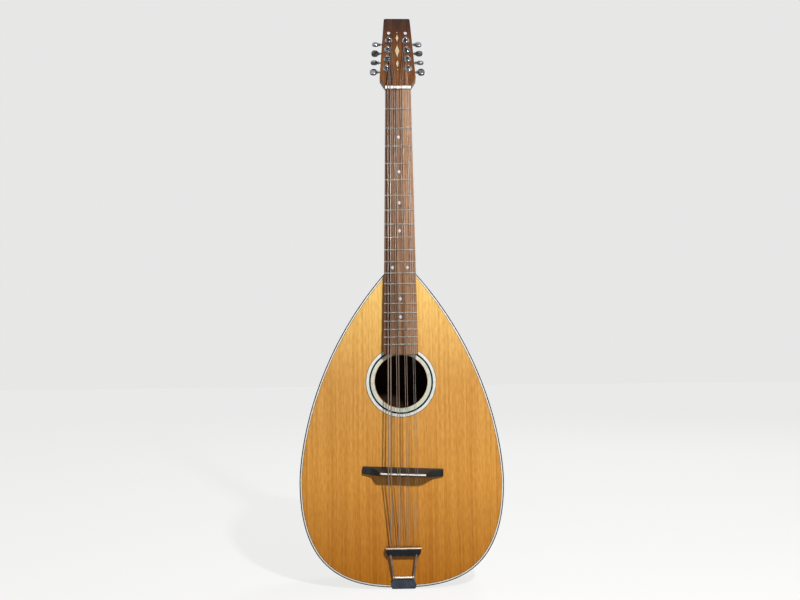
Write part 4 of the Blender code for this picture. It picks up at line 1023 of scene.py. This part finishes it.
LUG_REACH = 0.0048
LUG_HALF = 0.0031
LUG_ROUND = 0.0029
LUG_THICKNESS = 0.0014
LUG_SUNK = 0.0002
SCREW_RADIUS = 0.0019
SCREW_DOME = ((0.0, -0.001), (SCREW_RADIUS, -0.001), (SCREW_RADIUS, 0.0002), (0.0015, 0.0008),
              (0.0008, 0.0011), (0.0, 0.0012))

WHEEL_RADIUS = WHEEL_TEETH * TOOTH_PITCH / (2 * pi)
WORM_OFFSET = WHEEL_RADIUS + WORM_PITCH_RADIUS
WORM_OUTSIDE = WORM_PITCH_RADIUS + ADDENDUM
WORM_CORE = WORM_PITCH_RADIUS - DEDENDUM
HALF_CAVITY = WHEEL_RADIUS + ADDENDUM + 2 * CLEARANCE
CAVITY_TOP = WORM_OFFSET + WORM_OUTSIDE + 2 * CLEARANCE
HOUSING_FRONT = HEAD_BACK + CLEARANCE
CAVITY_DEPTH = 2 * WORM_OUTSIDE + 4 * CLEARANCE
CAVITY_FLOOR = HOUSING_FRONT + CAVITY_DEPTH
GEAR_DEPTH = HOUSING_FRONT + CAVITY_DEPTH / 2
HOUSING_BACK = CAVITY_FLOOR + HOUSING_WALL
HOUSING_END = HALF_CAVITY + HOUSING_WALL
PITCH_LINE = TOOTH_PITCH / 4 - CLEARANCE / 2

# The tuner chrome's strong dark patches are painted dark reflection.
chrome = metal("tuner_chrome", (0.46, 0.48, 0.52), roughness=0.08, smudge_and_reflection_dark=0.35)


def tooth_half(reach):
    """Half a tooth's thickness at a reach beyond the pitch line."""
    return PITCH_LINE - reach * tan(TOOTH_SLOPE)


def worm_wheel(side, place):
    """The wheel's teeth, slanted to the worm's lead."""
    lead = TOOTH_PITCH / (2 * pi * WORM_PITCH_RADIUS)
    rings = []
    for offset in (-WHEEL_THICKNESS / 2, WHEEL_THICKNESS / 2):
        ring = []
        for tooth in range(WHEEL_TEETH):
            middle = 2 * pi * tooth / WHEEL_TEETH + lead * offset / WHEEL_RADIUS
            for hand, reach in ((-1, -DEDENDUM), (-1, ADDENDUM), (1, ADDENDUM), (1, -DEDENDUM)):
                radius = WHEEL_RADIUS + reach
                angle = middle + hand * tooth_half(reach) / radius
                ring.append((side * radius * sin(angle), GEAR_DEPTH + offset, radius * cos(angle)))
        rings.append(ring)
    return skin("worm_wheel", steel, rings, place)


def make_post(number, side, place):
    profile = (
        (0.0, -POST_HEIGHT),
        (0.0017, -POST_HEIGHT),
        (0.0022, -POST_HEIGHT + 0.0002),
        (POST_RADIUS, -POST_HEIGHT + 0.0006),
        (POST_RADIUS, -0.0079),
        (POST_WAIST, -0.0072),
        (POST_WAIST, -0.0040),
        (POST_RADIUS, -0.0033),
        (POST_RADIUS, CAVITY_FLOOR - CLEARANCE),
        (0.0, CAVITY_FLOOR - CLEARANCE),
    )
    post = turned("string_post_%d" % number, chrome, profile, place, 32)
    drill = place @ moved(0.0, -STRING_HOLE_HEIGHT, 0.0) @ spun(pi / 2, "Z")
    hole = turned("hole", chrome, oblong(0.0, STRING_HOLE_RADIUS, -0.01, 0.01), drill, 16)
    combine(post, [worm_wheel(side, place)], "UNION")
    return combine(post, [hole], "DIFFERENCE")


def make_button(number, side, place):
    turn = radians(BUTTON_TURNS[number - 1])
    outer = HALF_CAVITY - CLEARANCE
    collar = BUTTON_START - COLLAR_LENGTH
    rounds = [(x, radius, radius) for x, radius in (
        (-outer, WORM_CORE),
        (min(TOOTH_PITCH * (WORM_TURNS + 1) / 2, outer), WORM_CORE),
        (outer, SHAFT_RADIUS),
        (collar, SHAFT_RADIUS),
        (collar, COLLAR_RADIUS - COLLAR_EASE),
        (collar + COLLAR_EASE, COLLAR_RADIUS),
        (BUTTON_START - COLLAR_EASE, COLLAR_RADIUS),
        (BUTTON_START, COLLAR_RADIUS - 0.0003),
    )]
    for share in BUTTON_SHARES:
        fullness = max(1 - abs(2 * share - 1) ** BUTTON_ROUNDNESS, 0.04)
        swell = fullness ** (1 / BUTTON_ROUNDNESS)
        rounds.append((BUTTON_START + share * BUTTON_REACH, BUTTON_WIDTH / 2 * swell, BUTTON_THICKNESS / 2 * swell))
    rings = []
    for x, wide, thick in rounds:
        ring = []
        for i in range(BUTTON_STEPS):
            angle = 2 * pi * (i + 0.5) / BUTTON_STEPS
            reach = 1 / hypot(cos(angle - turn) / wide, sin(angle - turn) / thick)
            ring.append((side * x, reach * cos(angle), reach * sin(angle)))
        rings.append(ring)
    button = skin("tuner_knob_%d" % number, chrome, rings, place)
    crest = tooth_half(ADDENDUM)
    sunk = WORM_CORE - CLEARANCE
    root = tooth_half(sunk - WORM_PITCH_RADIUS)
    thread = []
    for i in range(WORM_TURNS * WORM_STEPS):
        x = TOOTH_PITCH * ((i + 0.5) / WORM_STEPS - WORM_TURNS / 2)
        angle = 2 * pi * x / TOOTH_PITCH + pi / 2
        section = ((-root, sunk), (-crest, WORM_OUTSIDE), (crest, WORM_OUTSIDE), (root, sunk))
        thread.append([(side * (x + a), r * cos(angle), r * sin(angle)) for a, r in section])
    return combine(button, [skin("thread", chrome, thread, place)], "UNION")


def case_rings(grow, corner, levels):
    """The housing's rounded outline, grown by so much, at each (depth, inset)."""
    wide = HALF_CAVITY + grow
    middle = WORM_OFFSET / 3
    outline = rounded(oblong(-wide, wide, -wide, CAVITY_TOP + grow), [corner] * 4)
    rings = []
    for depth, inset in levels:
        share = 1 - inset / wide
        rings.append([(p[0] * share, depth, (p[1] - middle) * share + middle) for p in outline])
    return rings


def make_housing(number, side, place):
    outside = ((HOUSING_FRONT, 0.0), (HOUSING_BACK - 0.0014, 0.0), (HOUSING_BACK - 0.0008, 0.0002),
               (HOUSING_BACK - 0.0003, 0.0006), (HOUSING_BACK, 0.0014))
    housing = skin("tuner_case_%d" % number, chrome, case_rings(HOUSING_WALL, HOUSING_CORNER, outside), place)
    lug_corners = oblong(-side * (HOUSING_END - 0.001), -side * (HOUSING_END + LUG_REACH), -LUG_HALF, LUG_HALF)
    lug_outline = rounded(lug_corners, (0.0, LUG_ROUND, LUG_ROUND, 0.0))
    lug = plate("lug", chrome, lug_outline, HOUSING_FRONT - LUG_SUNK, HOUSING_FRONT + LUG_THICKNESS, place)
    combine(housing, [lug], "UNION")
    inside = ((HOUSING_FRONT - HOUSING_WALL, 0.0), (CAVITY_FLOOR, 0.0))
    cavity = skin("cavity", chrome, case_rings(0.0, HOUSING_CORNER - HOUSING_WALL, inside), place)
    drill = place @ moved(0.0, GEAR_DEPTH, WORM_OFFSET) @ spun(-side * pi / 2, "Z")
    shaft_hole = oblong(0.0, SHAFT_RADIUS + CLEARANCE, 0.0, HALF_CAVITY + 2 * HOUSING_WALL)
    bore = turned("bore", chrome, shaft_hole, drill, 24)
    return combine(housing, [cavity, bore], "DIFFERENCE")


def make_screw(name, dome, place, steps, arm, slit, floor, angle):
    """A domed screw head with a cross cut in it."""
    screw = turned(name, chrome, dome, place, steps)
    cross = [plate("cross", chrome, oblong(-a, a, -b, b), floor, 0.002, place @ spun(radians(angle), "Y"))
             for a, b in ((arm, slit), (slit, arm))]
    return combine(screw, cross, "DIFFERENCE")


BUSHING_PROFILE = (
    (POST_RADIUS + CLEARANCE, -BUSHING_TOP),
    (POST_RADIUS + CLEARANCE, BUSHING_FOOT),
    (SLEEVE_RADIUS, BUSHING_FOOT),
    (SLEEVE_RADIUS, -HAIR),
    (WASHER_RADIUS, -HAIR),
    (WASHER_RADIUS, -0.0008),
    (WASHER_RADIUS - 0.0004, -0.0013),
    (0.0054, -0.0014),
    (0.0052, -0.0018),
    (0.0050, -0.0021),
    (0.0045, -BUSHING_TOP),
)
for number in STRINGS:
    side = post_spot(number)[0]
    seat = post_seat(number)
    bushing = turned("tuner_collar_%d" % number, chrome, BUSHING_PROFILE, seat)
    fit(bushing, "chrome", "tuner_bushing_%d" % number)
    fit(make_housing(number, side, seat), "chrome", "tuner_housing_%d" % number)
    lug_face = seat @ moved(-side * (HOUSING_END + LUG_REACH / 2), HOUSING_FRONT + LUG_THICKNESS, 0.0)
    screw = make_screw("tuner_screw_%d" % number, SCREW_DOME, lug_face, 24, 0.0012, 0.0002, 0.0006, 20.0 * number)
    fit(screw, "chrome")
    fit(make_post(number, side, seat), "steel", "tuner_post_%d" % number, body="post_%d" % number)
    axle = seat @ moved(0.0, GEAR_DEPTH, WORM_OFFSET)
    fit(make_button(number, side, axle), "chrome", "tuner_button_%d" % number, body="button_%d" % number)


# Strings
# Four courses of two. The six heavier strings are steel with a close winding of bronze wire, and the
# last two are plain steel. Each runs from its post over the nut and the saddle to the tailpiece, with
# its cut end standing out of the hole in the post.
SADDLE_COURSES = 0.0146
SADDLE_PAIR_CLEAR = 0.0024
TAIL_COURSES = 0.0118
WOUND_STRINGS = 6
WINDING_CLEAR = 0.00045
WINDING_STEPS = 24
LEAST_TURNS = 0.5
TAIL_SHIFT = 0.001
PLATE_BELOW_JOINT = 0.4475
PLATE_LENGTH = 0.0144
PLATE_HEIGHT = 0.0088
PLATE_THICKNESS = 0.0015
STUB_HALF = 0.0041
STUB_REACHES = (-0.55, 0.0, 0.7, 1.0)
WRAP_PITCH = 0.00028
# The winding is dark in the grooves between turns and lighter on the crowns. The dark grooves are painted shade.
WRAP_GROOVE_SHADE = ((0.1, (0.22, 0.165, 0.135)), (0.7, (0.56, 0.44, 0.36)))
# Painted shade: the wound strings are darker and greyer from the fretboard up.
NECKWARD_STRING_SHADE = ((0.36, UNTINTED), (0.48, (0.42, 0.46, 0.49)))

bronze, shader = new_finish("bronze_winding", {"Metallic": 1.0})
place = own_place(shader)
sockets = {"Vector": place, "Scale": 0.314 / WRAP_PITCH, "Distortion": 0.0}
wraps = node(place, "TexWave", sockets, bands_direction="Z").outputs["Fac"]
handled = cloud(place, (60.0, 60.0, 14.0), 3.0)
# Winding colour with painted shade between the turns.
feed(shader, between(handled, 0.28, 0.45), ramp(wraps, WRAP_GROOVE_SHADE), wraps, 0.00006)
# Painted shade on the wound strings from the fretboard up.
along(bronze, 2, -0.80, 0.0, NECKWARD_STRING_SHADE)
plain_wire = metal("plain_wire", (0.44, 0.42, 0.41), roughness=0.38, smudge_and_reflection_dark=0.7)


def string_route(number):
    """Centre line of one string: round its post, over nut and saddle, into the tailpiece."""
    radius = gauge(number) / 2
    side, post_x, rise = post_spot(number)
    to_body = BODY.inverted()
    x = string_across(number, NUT_COURSES, NUT_PAIR_CLEAR)
    nut = to_body @ NECK @ Vector((x, -string_bottom(BODY_JOINT) - radius, HEAD_START + CLEARANCE))
    wrap = POST_RADIUS + CLEARANCE + radius
    low = BUSHING_TOP + CLEARANCE + radius
    turn_rise = 2 * radius + WINDING_CLEAR
    turns = max((STRING_HOLE_HEIGHT - low) / turn_rise, LEAST_TURNS)
    head = to_body @ HEAD
    seen = head.inverted() @ nut
    reach = Vector((side * (seen.x - post_x), seen.z - rise))
    start = pi - (atan2(reach.y, reach.x) % (2 * pi) - acos(wrap / reach.length))
    steps = round(turns * WINDING_STEPS)
    route = []
    for i in range(steps + 1):
        angle = start + 2 * pi * turns * i / steps
        height = low + turn_rise * turns * i / steps
        route.append(head @ Vector((post_x - side * wrap * cos(angle), -height, rise + wrap * sin(angle))))
    leave = (route[-1] - route[-2]).normalized()
    route.append(route[-1] + 2 * radius * leave)
    route.reverse()
    x = string_across(number, SADDLE_COURSES, SADDLE_PAIR_CLEAR)
    z = -BRIDGE_BELOW_JOINT - x * tan(BRIDGE_SKEW)
    saddle = Vector((x + BRIDGE_SHIFT, -SADDLE_TOP - 0.8 * CLEARANCE - radius, z))
    x = string_across(number, TAIL_COURSES, SADDLE_PAIR_CLEAR) + TAIL_SHIFT
    depth = PLATE_HEIGHT - PLATE_THICKNESS - CLEARANCE - GAUGES[0] / 2
    lip = Vector((x, -depth, -PLATE_BELOW_JOINT))
    return route + [nut, saddle, lip + (lip - saddle).normalized() * PLATE_LENGTH / 2]


def wire(name, finish, route, radius, place=BODY):
    """A round wire along a route."""
    curve = bpy.data.curves.new(name, "CURVE")
    curve.dimensions = "3D"
    curve.bevel_depth = radius
    curve.bevel_resolution = 3
    curve.use_fill_caps = True
    spline = curve.splines.new("POLY")
    spline.points.add(len(route) - 1)
    for point, spot in zip(spline.points, route):
        point.co = opaque(place @ Vector(spot))
    spline.use_smooth = True
    curve.materials.append(finish)
    return show(bpy.data.objects.new(name, curve))


for number in STRINGS:
    finish, slot = (bronze, "bronze_string") if number <= WOUND_STRINGS else (plain_wire, "plain_string")
    radius = gauge(number) / 2
    fit(wire("wire_string_%d" % number, finish, string_route(number), radius), slot, "string_%d" % number)
    route = [(-post_spot(number)[0] * STUB_HALF * k, -STRING_HOLE_HEIGHT, 0.0) for k in STUB_REACHES]
    stub_radius = min(radius, STRING_HOLE_RADIUS - 0.0002)
    stub = wire("string_end_%d" % number, finish, route, stub_radius, post_seat(number))
    fit(stub, slot, body="post_%d" % number)


# Tailpiece
# A trapeze of chromed steel. The plate is folded over at the top, where the strings pass in through
# slots, and hooks along its lower edge hold their looped ends. Two flat legs join it to a hinge rod,
# and a folded base holds that rod at the tail, screwed through the ribs into the tail block.
PLATE_WIDTH = 0.0576
PLATE_LIP_DEPTH = 0.0040
PLATE_BEND = 0.0042
PLATE_CORNER = 0.0048
PLATE_TAPER = 0.0020
PLATE_LEAN = 0.0020
SLOT_LENGTH = 0.0032
NOTCH_HALF = 0.0007
NOTCH_HEIGHT = 0.0022
HOOK_RADIUS = 0.0006
HOOK = ((0.0, 0.0040), (0.0, 0.0002), (0.0002, -0.0008), (0.0009, -0.0015), (0.0018, -0.0015), (0.0024, -0.0008))
LEG_TOP_SPREAD = 0.0426
LEG_FOOT_SPREAD = 0.0322
LEG_HALF = 0.0016
LEG_HALF_THICKNESS = 0.0012
LEG_OVERLAP = 0.004
LEG_SECTION = ((-1, -0.5), (-0.6, -1), (0.6, -1), (1, -0.5), (1, 0.5), (0.6, 1), (-0.6, 1), (-1, 0.5))
EYE_BORE = 0.0012
EYE_RADIUS = 0.0027
HINGE_BELOW_JOINT = 0.4964
HINGE_HEIGHT = 0.0050
ROD_RADIUS = 0.0015
BARREL_RADIUS = 0.0029
BARREL_LENGTH = 0.0284
BASE_WIDTH = 0.0407
BASE_THICKNESS = 0.0018
BASE_STRAP = 0.034
BASE_CORNER = 0.011
BASE_ABOVE_HINGE = 0.0012
BASE_FOLD = 0.0030
BASE_ROUND = 0.0060
BASE_DRAW = 0.0036
BASE_SCREWS = (0.0085, 0.0260)
BASE_SCREW_RADIUS = 0.0031
BASE_SCREW_RISE = 0.00045
BASE_DOME = ((0.0, -0.0015), (BASE_SCREW_RADIUS, -0.0015), (BASE_SCREW_RADIUS, 0.0), (0.0024, 0.00025),
             (0.0012, 0.0004), (0.0, BASE_SCREW_RISE))
FOLDED_EDGE = radians(40.0)
TAIL = BODY @ moved(TAIL_SHIFT, 0.0, 0.0)

# One chrome in painted copies. The two light ones are painted highlights, on the barrel's top and on the plate's roll.
# The two dark ones are painted dark reflection and shade, on the plate's face, the hooks, the barrel's underside and
# the base.
barrel_highlight_chrome = metal("painted_highlight_chrome", (0.66, 0.59, 0.49), roughness=0.24, smudge_and_reflection_dark=0.9)
roll_highlight_chrome = metal("roll_highlight_chrome", (0.34, 0.25, 0.17), roughness=0.28, smudge_and_reflection_dark=0.8)
dark_reflection_chrome = metal("tailpiece_painted_reflection_chrome", (0.051, 0.063, 0.090), roughness=0.14, smudge_and_reflection_dark=0.7)
base_shade_chrome = metal("tail_base_chrome", (0.121, 0.158, 0.235), roughness=0.2, smudge_and_reflection_dark=0.75)


def spread(half, corner, steps=8):
    """Places across a plate, closer together at its rounded corners."""
    places = [half - corner * (1 - s) for c, s in arc(pi / 2, steps)]
    return [-x for x in reversed(places)] + places


def corner_fall(x, half, corner):
    """How much a rounded corner takes off at x."""
    out = max(0.0, abs(x) - half + corner) / corner
    return corner * (1 - sqrt(max(0.0, 1 - out * out)))


def bent_sheet(name, finish, places, path, thickness, narrowing):
    """Sheet metal: its outer face follows path(x) in Y and Z, narrowed by a share at each point."""
    rings = []
    for x in places:
        outer = [Vector(p) for p in path(x)]
        inner = []
        for i, p in enumerate(outer):
            heading = (outer[min(i + 1, len(outer) - 1)] - outer[max(i - 1, 0)]).normalized()
            inner.append(p + thickness * Vector((-heading.y, heading.x)))
        shares = [narrowing(p) for p in outer]
        sheet = list(zip(outer, shares)) + list(zip(inner, shares))[::-1]
        rings.append([(x * share, p.x, p.y) for p, share in sheet])
    return skin(name, finish, rings, TAIL)


plate_top = -PLATE_BELOW_JOINT
plate_low = plate_top - PLATE_LENGTH
hinge_z = -HINGE_BELOW_JOINT


def plate_path(x):
    """From the lip, round the bend and down the front to the plate's lower edge."""
    end = plate_low + corner_fall(x, PLATE_WIDTH / 2, PLATE_CORNER)
    path = [(-PLATE_LIP_DEPTH, plate_top)]
    for c, s in arc(pi / 2, 8):
        path.append((PLATE_BEND - PLATE_HEIGHT - PLATE_BEND * s, plate_top - PLATE_BEND * (1 - c)))
    for k in (0.66, 0.33, 0.0):
        path.append((PLATE_LEAN * (1 - k) - PLATE_HEIGHT, end + (plate_top - PLATE_BEND - end) * k))
    return path


def plate_narrowing(p):
    """The plate's ends slope in towards its lower edge."""
    return 1 - PLATE_TAPER / PLATE_WIDTH * 2 * max(0.0, plate_top - PLATE_BEND - p.y) / (PLATE_LENGTH - PLATE_BEND)


def faces_within(made, low, high):
    """The numbers of the faces that lie between two heights in the body's frame."""
    heights = [(BODY.inverted() @ face.center).z for face in made.data.polygons]
    return [i for i, z in enumerate(heights) if low < z < high]


# The plate's face is painted dark as a dark reflection.
trapeze = bent_sheet("tailpiece_plate", dark_reflection_chrome, spread(PLATE_WIDTH / 2, PLATE_CORNER), plate_path,
                     PLATE_THICKNESS, plate_narrowing)
plate_back = PLATE_THICKNESS - PLATE_HEIGHT
tail_places = [(number, string_across(number, TAIL_COURSES, SADDLE_PAIR_CLEAR)) for number in STRINGS]
cuts = []
for number, x in tail_places:
    wide = gauge(number) / 2 + CLEARANCE
    slot = oblong(x - wide, x + wide, plate_top - SLOT_LENGTH, plate_top + 0.002)
    notch = oblong(x - NOTCH_HALF, x + NOTCH_HALF, plate_low - 0.001, plate_low + NOTCH_HEIGHT)
    cuts.append(plate("slot", dark_reflection_chrome, slot, plate_back, 0.0, TAIL))
    cuts.append(plate("notch", dark_reflection_chrome, notch, -PLATE_HEIGHT - 0.001, 0.0, TAIL))
combine(trapeze, cuts, "DIFFERENCE")
# The roll at the top takes the lighter finish as a painted highlight.
second_finish(trapeze, roll_highlight_chrome, faces_within(trapeze, plate_top - 0.8 * PLATE_BEND, 0.0))
soften(trapeze, 0.0003, angle=FOLDED_EDGE)
fit(trapeze, "chrome", "tailpiece_trapeze")

for number, x in tail_places:
    route = [(x, plate_back + HOOK_RADIUS + y, plate_low + z) for y, z in HOOK]
    # The hooks take the dark finish: painted shade in the gaps under the plate's edge.
    fit(wire("tailpiece_hook_%d" % number, dark_reflection_chrome, route, HOOK_RADIUS, TAIL), "chrome")


def pin(inner, outer, half, ease):
    """The section of a round pin or tube with eased ends."""
    return ((inner, -half), (outer - ease, -half), (outer, -half + ease),
            (outer, half - ease), (outer - ease, half), (inner, half))


def hinge_place(x):
    return TAIL @ moved(x, -HINGE_HEIGHT, hinge_z) @ spun(pi / 2, "Z")


for side, hand in ((-1, "bass"), (1, "treble")):
    rings = []
    for share in (0.0, 0.1, 0.25, 0.4, 0.55, 0.7, 0.85, 1.0):
        z = plate_low + LEG_OVERLAP + (hinge_z - plate_low - LEG_OVERLAP) * share
        x = side * (LEG_TOP_SPREAD + (LEG_FOOT_SPREAD - LEG_TOP_SPREAD) * share) / 2
        bend = 3 * share ** 2 - 2 * share ** 3
        middle = plate_back + LEG_HALF_THICKNESS + (-HINGE_HEIGHT - plate_back - LEG_HALF_THICKNESS) * bend
        rings.append([(x + LEG_HALF * a, middle + LEG_HALF_THICKNESS * b, z) for a, b in LEG_SECTION])
    leg = skin("tailpiece_leg_" + hand, steel, rings, TAIL)
    eye_profile = pin(EYE_BORE, EYE_RADIUS, LEG_HALF, 0.0003)
    combine(leg, [turned("eye", chrome, eye_profile, hinge_place(side * LEG_FOOT_SPREAD / 2), 24)], "UNION")
    fit(leg, "chrome")

rod_profile = pin(0.0, ROD_RADIUS, LEG_FOOT_SPREAD / 2 + LEG_HALF, 0.0005)
fit(turned("tailpiece_hinge_rod", chrome, rod_profile, hinge_place(0.0), 24), "chrome")
barrel_profile = pin(ROD_RADIUS + HAIR, BARREL_RADIUS, BARREL_LENGTH / 2, 0.0003)
# Painted light on the barrel: the light finish on top is a painted highlight, and the dark one underneath is painted
# shade.
barrel = turned("tailpiece_hinge_barrel", barrel_highlight_chrome, barrel_profile, hinge_place(0.0), 32)
second_finish(barrel, dark_reflection_chrome, faces_within(barrel, -BODY_LENGTH, hinge_z - 0.2 * BARREL_RADIUS))
fit(barrel, "steel")

base_low = -BODY_LENGTH - CLEARANCE - BASE_THICKNESS
base_head = hinge_z - BARREL_RADIUS + BASE_ABOVE_HINGE
base_front = -CLEARANCE - BASE_THICKNESS


def base_path(x):
    """From the strap's end, along the tail, round the fold and up the front to the head."""
    fall = corner_fall(x, BASE_WIDTH / 2, BASE_CORNER)
    path = [(BASE_STRAP - fall - (BASE_STRAP - fall) * k, base_low) for k in (0.0, 0.3, 0.6)]
    path += [(base_front + BASE_FOLD * (1 - s), base_low + BASE_FOLD * (1 - c)) for c, s in arc(pi / 2, 6)]
    run = base_head - fall - base_low - BASE_FOLD
    return path + [(base_front, base_low + BASE_FOLD + run * k) for k in (0.15, 0.3, 0.5, 0.75, 1.0)]


def base_narrowing(p):
    """The base draws in a little where it is folded over the tail."""
    near_fold = max(0.0, 1 - (p.y - base_low) / BASE_ROUND) if p.x < 0 else 1.0
    return 1 - 2 * BASE_DRAW / BASE_WIDTH * (1 - sqrt(max(0.0, 1 - near_fold ** 2)))


# The base is painted dark as a dark reflection.
base = bent_sheet("tailpiece_base_plate", base_shade_chrome, spread(BASE_WIDTH / 2, BASE_CORNER), base_path,
                  -BASE_THICKNESS, base_narrowing)
soften(base, 0.0003, angle=FOLDED_EDGE)
fit(base, "steel", "tailpiece_base")
for i, y in enumerate(BASE_SCREWS):
    seat = TAIL @ moved(0.0, y, base_low + BASE_SCREW_RISE) @ spun(pi / 2, "X") @ spun(pi, "X")
    name = "tailpiece_screw_%d" % (i + 1)
    fit(make_screw(name, BASE_DOME, seat, 32, 0.0019, 0.0003, -0.0008, 35.0 + 60.0 * i), "steel")


# Studio
# A plain pale floor under the instrument and a pale surround, a key lamp high on the right in front
# and broad fills from the left and from behind, and the camera at the photograph's angle.
FLOOR_BELOW = 0.0006
FLOOR_HALF = 15.0
PALE = (0.93, 0.93, 0.925)
WORLD_SHOWN = 0.86
WORLD_FILL = 0.075
FLOOR_COLOUR = (0.38, 0.38, 0.375)
FLOOR_SHOWN = 0.6
FLOOR_GLOW = 1.40
CAMERA_AT = (-0.0318, -1.2186, -0.5013)
CAMERA_YAW = radians(1.5)
CAMERA_PITCH = radians(5.584)
CAMERA_ROLL = radians(-0.599)
FOCAL_PIXELS = 716.0
IMAGE_WIDTH = 800.0
SENSOR = 36.0

floor_finish, shader = new_finish("pale_floor", {"Base Color": opaque(FLOOR_COLOUR), "Roughness": 0.9})
seen = node(shader, "LightPath").outputs["Is Camera Ray"]
paint = node(shader, "Emission", {"Color": opaque(PALE), "Strength": FLOOR_GLOW}).outputs[0]
share = node(shader, "Math", {0: seen, 1: FLOOR_SHOWN}, operation="MULTIPLY").outputs[0]
blend = node(shader, "MixShader", {0: share, 1: shader.outputs[0], 2: paint}).outputs[0]
floor_tree = floor_finish.node_tree
floor_tree.links.new(blend, floor_tree.nodes["Material Output"].inputs["Surface"])
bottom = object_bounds()[0].z - FLOOR_BELOW
floor_corners = [(x, y, bottom) for x, y in oblong(-FLOOR_HALF, FLOOR_HALF, -FLOOR_HALF, FLOOR_HALF)]
form("floor", floor_finish, floor_corners, ((0, 1, 2, 3),), Matrix.Identity(4))

world = bpy.data.worlds.new("pale_surround")
world.use_nodes = True
bpy.context.scene.world = world
background = world.node_tree.nodes["Background"]
background.inputs["Color"].default_value = opaque(PALE)
path = node(background, "LightPath")
shown = path.outputs["Is Camera Ray"]
for way in ("Is Glossy Ray", "Is Transmission Ray"):
    shown = node(background, "Math", {0: shown, 1: path.outputs[way]}, operation="MAXIMUM").outputs[0]
strength = between(shown, WORLD_FILL, WORLD_SHOWN, 0.0, 1.0)
world.node_tree.links.new(strength, background.inputs["Strength"])


def lamp(name, spot, aim, size, power, colour):
    data = bpy.data.lights.new(name, "AREA")
    data.shape = "DISK"
    data.size = size
    data.energy = power
    data.color = colour
    made = bpy.data.objects.new(name, data)
    made.location = spot
    made.rotation_euler = (Vector(aim) - Vector(spot)).to_track_quat("-Z", "Y").to_euler()
    return show(made)


lamp("key", (0.56, -1.25, 0.50), aim=(0.0, 0.0, -0.55), size=0.10, power=37.5, colour=(1.0, 0.97, 0.92))
back_lamp = lamp("back", (1.3, 1.7, 1.9), aim=(0.0, 0.1, -0.4), size=1.4, power=40.0, colour=(0.97, 0.98, 1.0))
back_lamp.visible_glossy = False
lamp("fill", (-1.2, -1.6, 0.1), aim=(0.0, 0.0, -0.4), size=1.4, power=0.55, colour=(0.95, 0.97, 1.0))

forward = Vector((sin(CAMERA_YAW) * cos(CAMERA_PITCH), cos(CAMERA_YAW) * cos(CAMERA_PITCH), sin(CAMERA_PITCH)))
right = Vector((cos(CAMERA_YAW), -sin(CAMERA_YAW), 0.0))
up = right.cross(forward)
rolled_right = right * cos(CAMERA_ROLL) + up * sin(CAMERA_ROLL)
rolled_up = up * cos(CAMERA_ROLL) - right * sin(CAMERA_ROLL)
camera = show(bpy.data.objects.new("camera", bpy.data.cameras.new("camera")))
camera.data.sensor_width = SENSOR
camera.data.lens = FOCAL_PIXELS / IMAGE_WIDTH * SENSOR
axes = Matrix((rolled_right, rolled_up, -forward)).transposed().to_4x4()
camera.matrix_world = Matrix.Translation(CAMERA_AT) @ axes
bpy.context.scene.camera = camera
bpy.context.scene.view_settings.view_transform = "Standard"
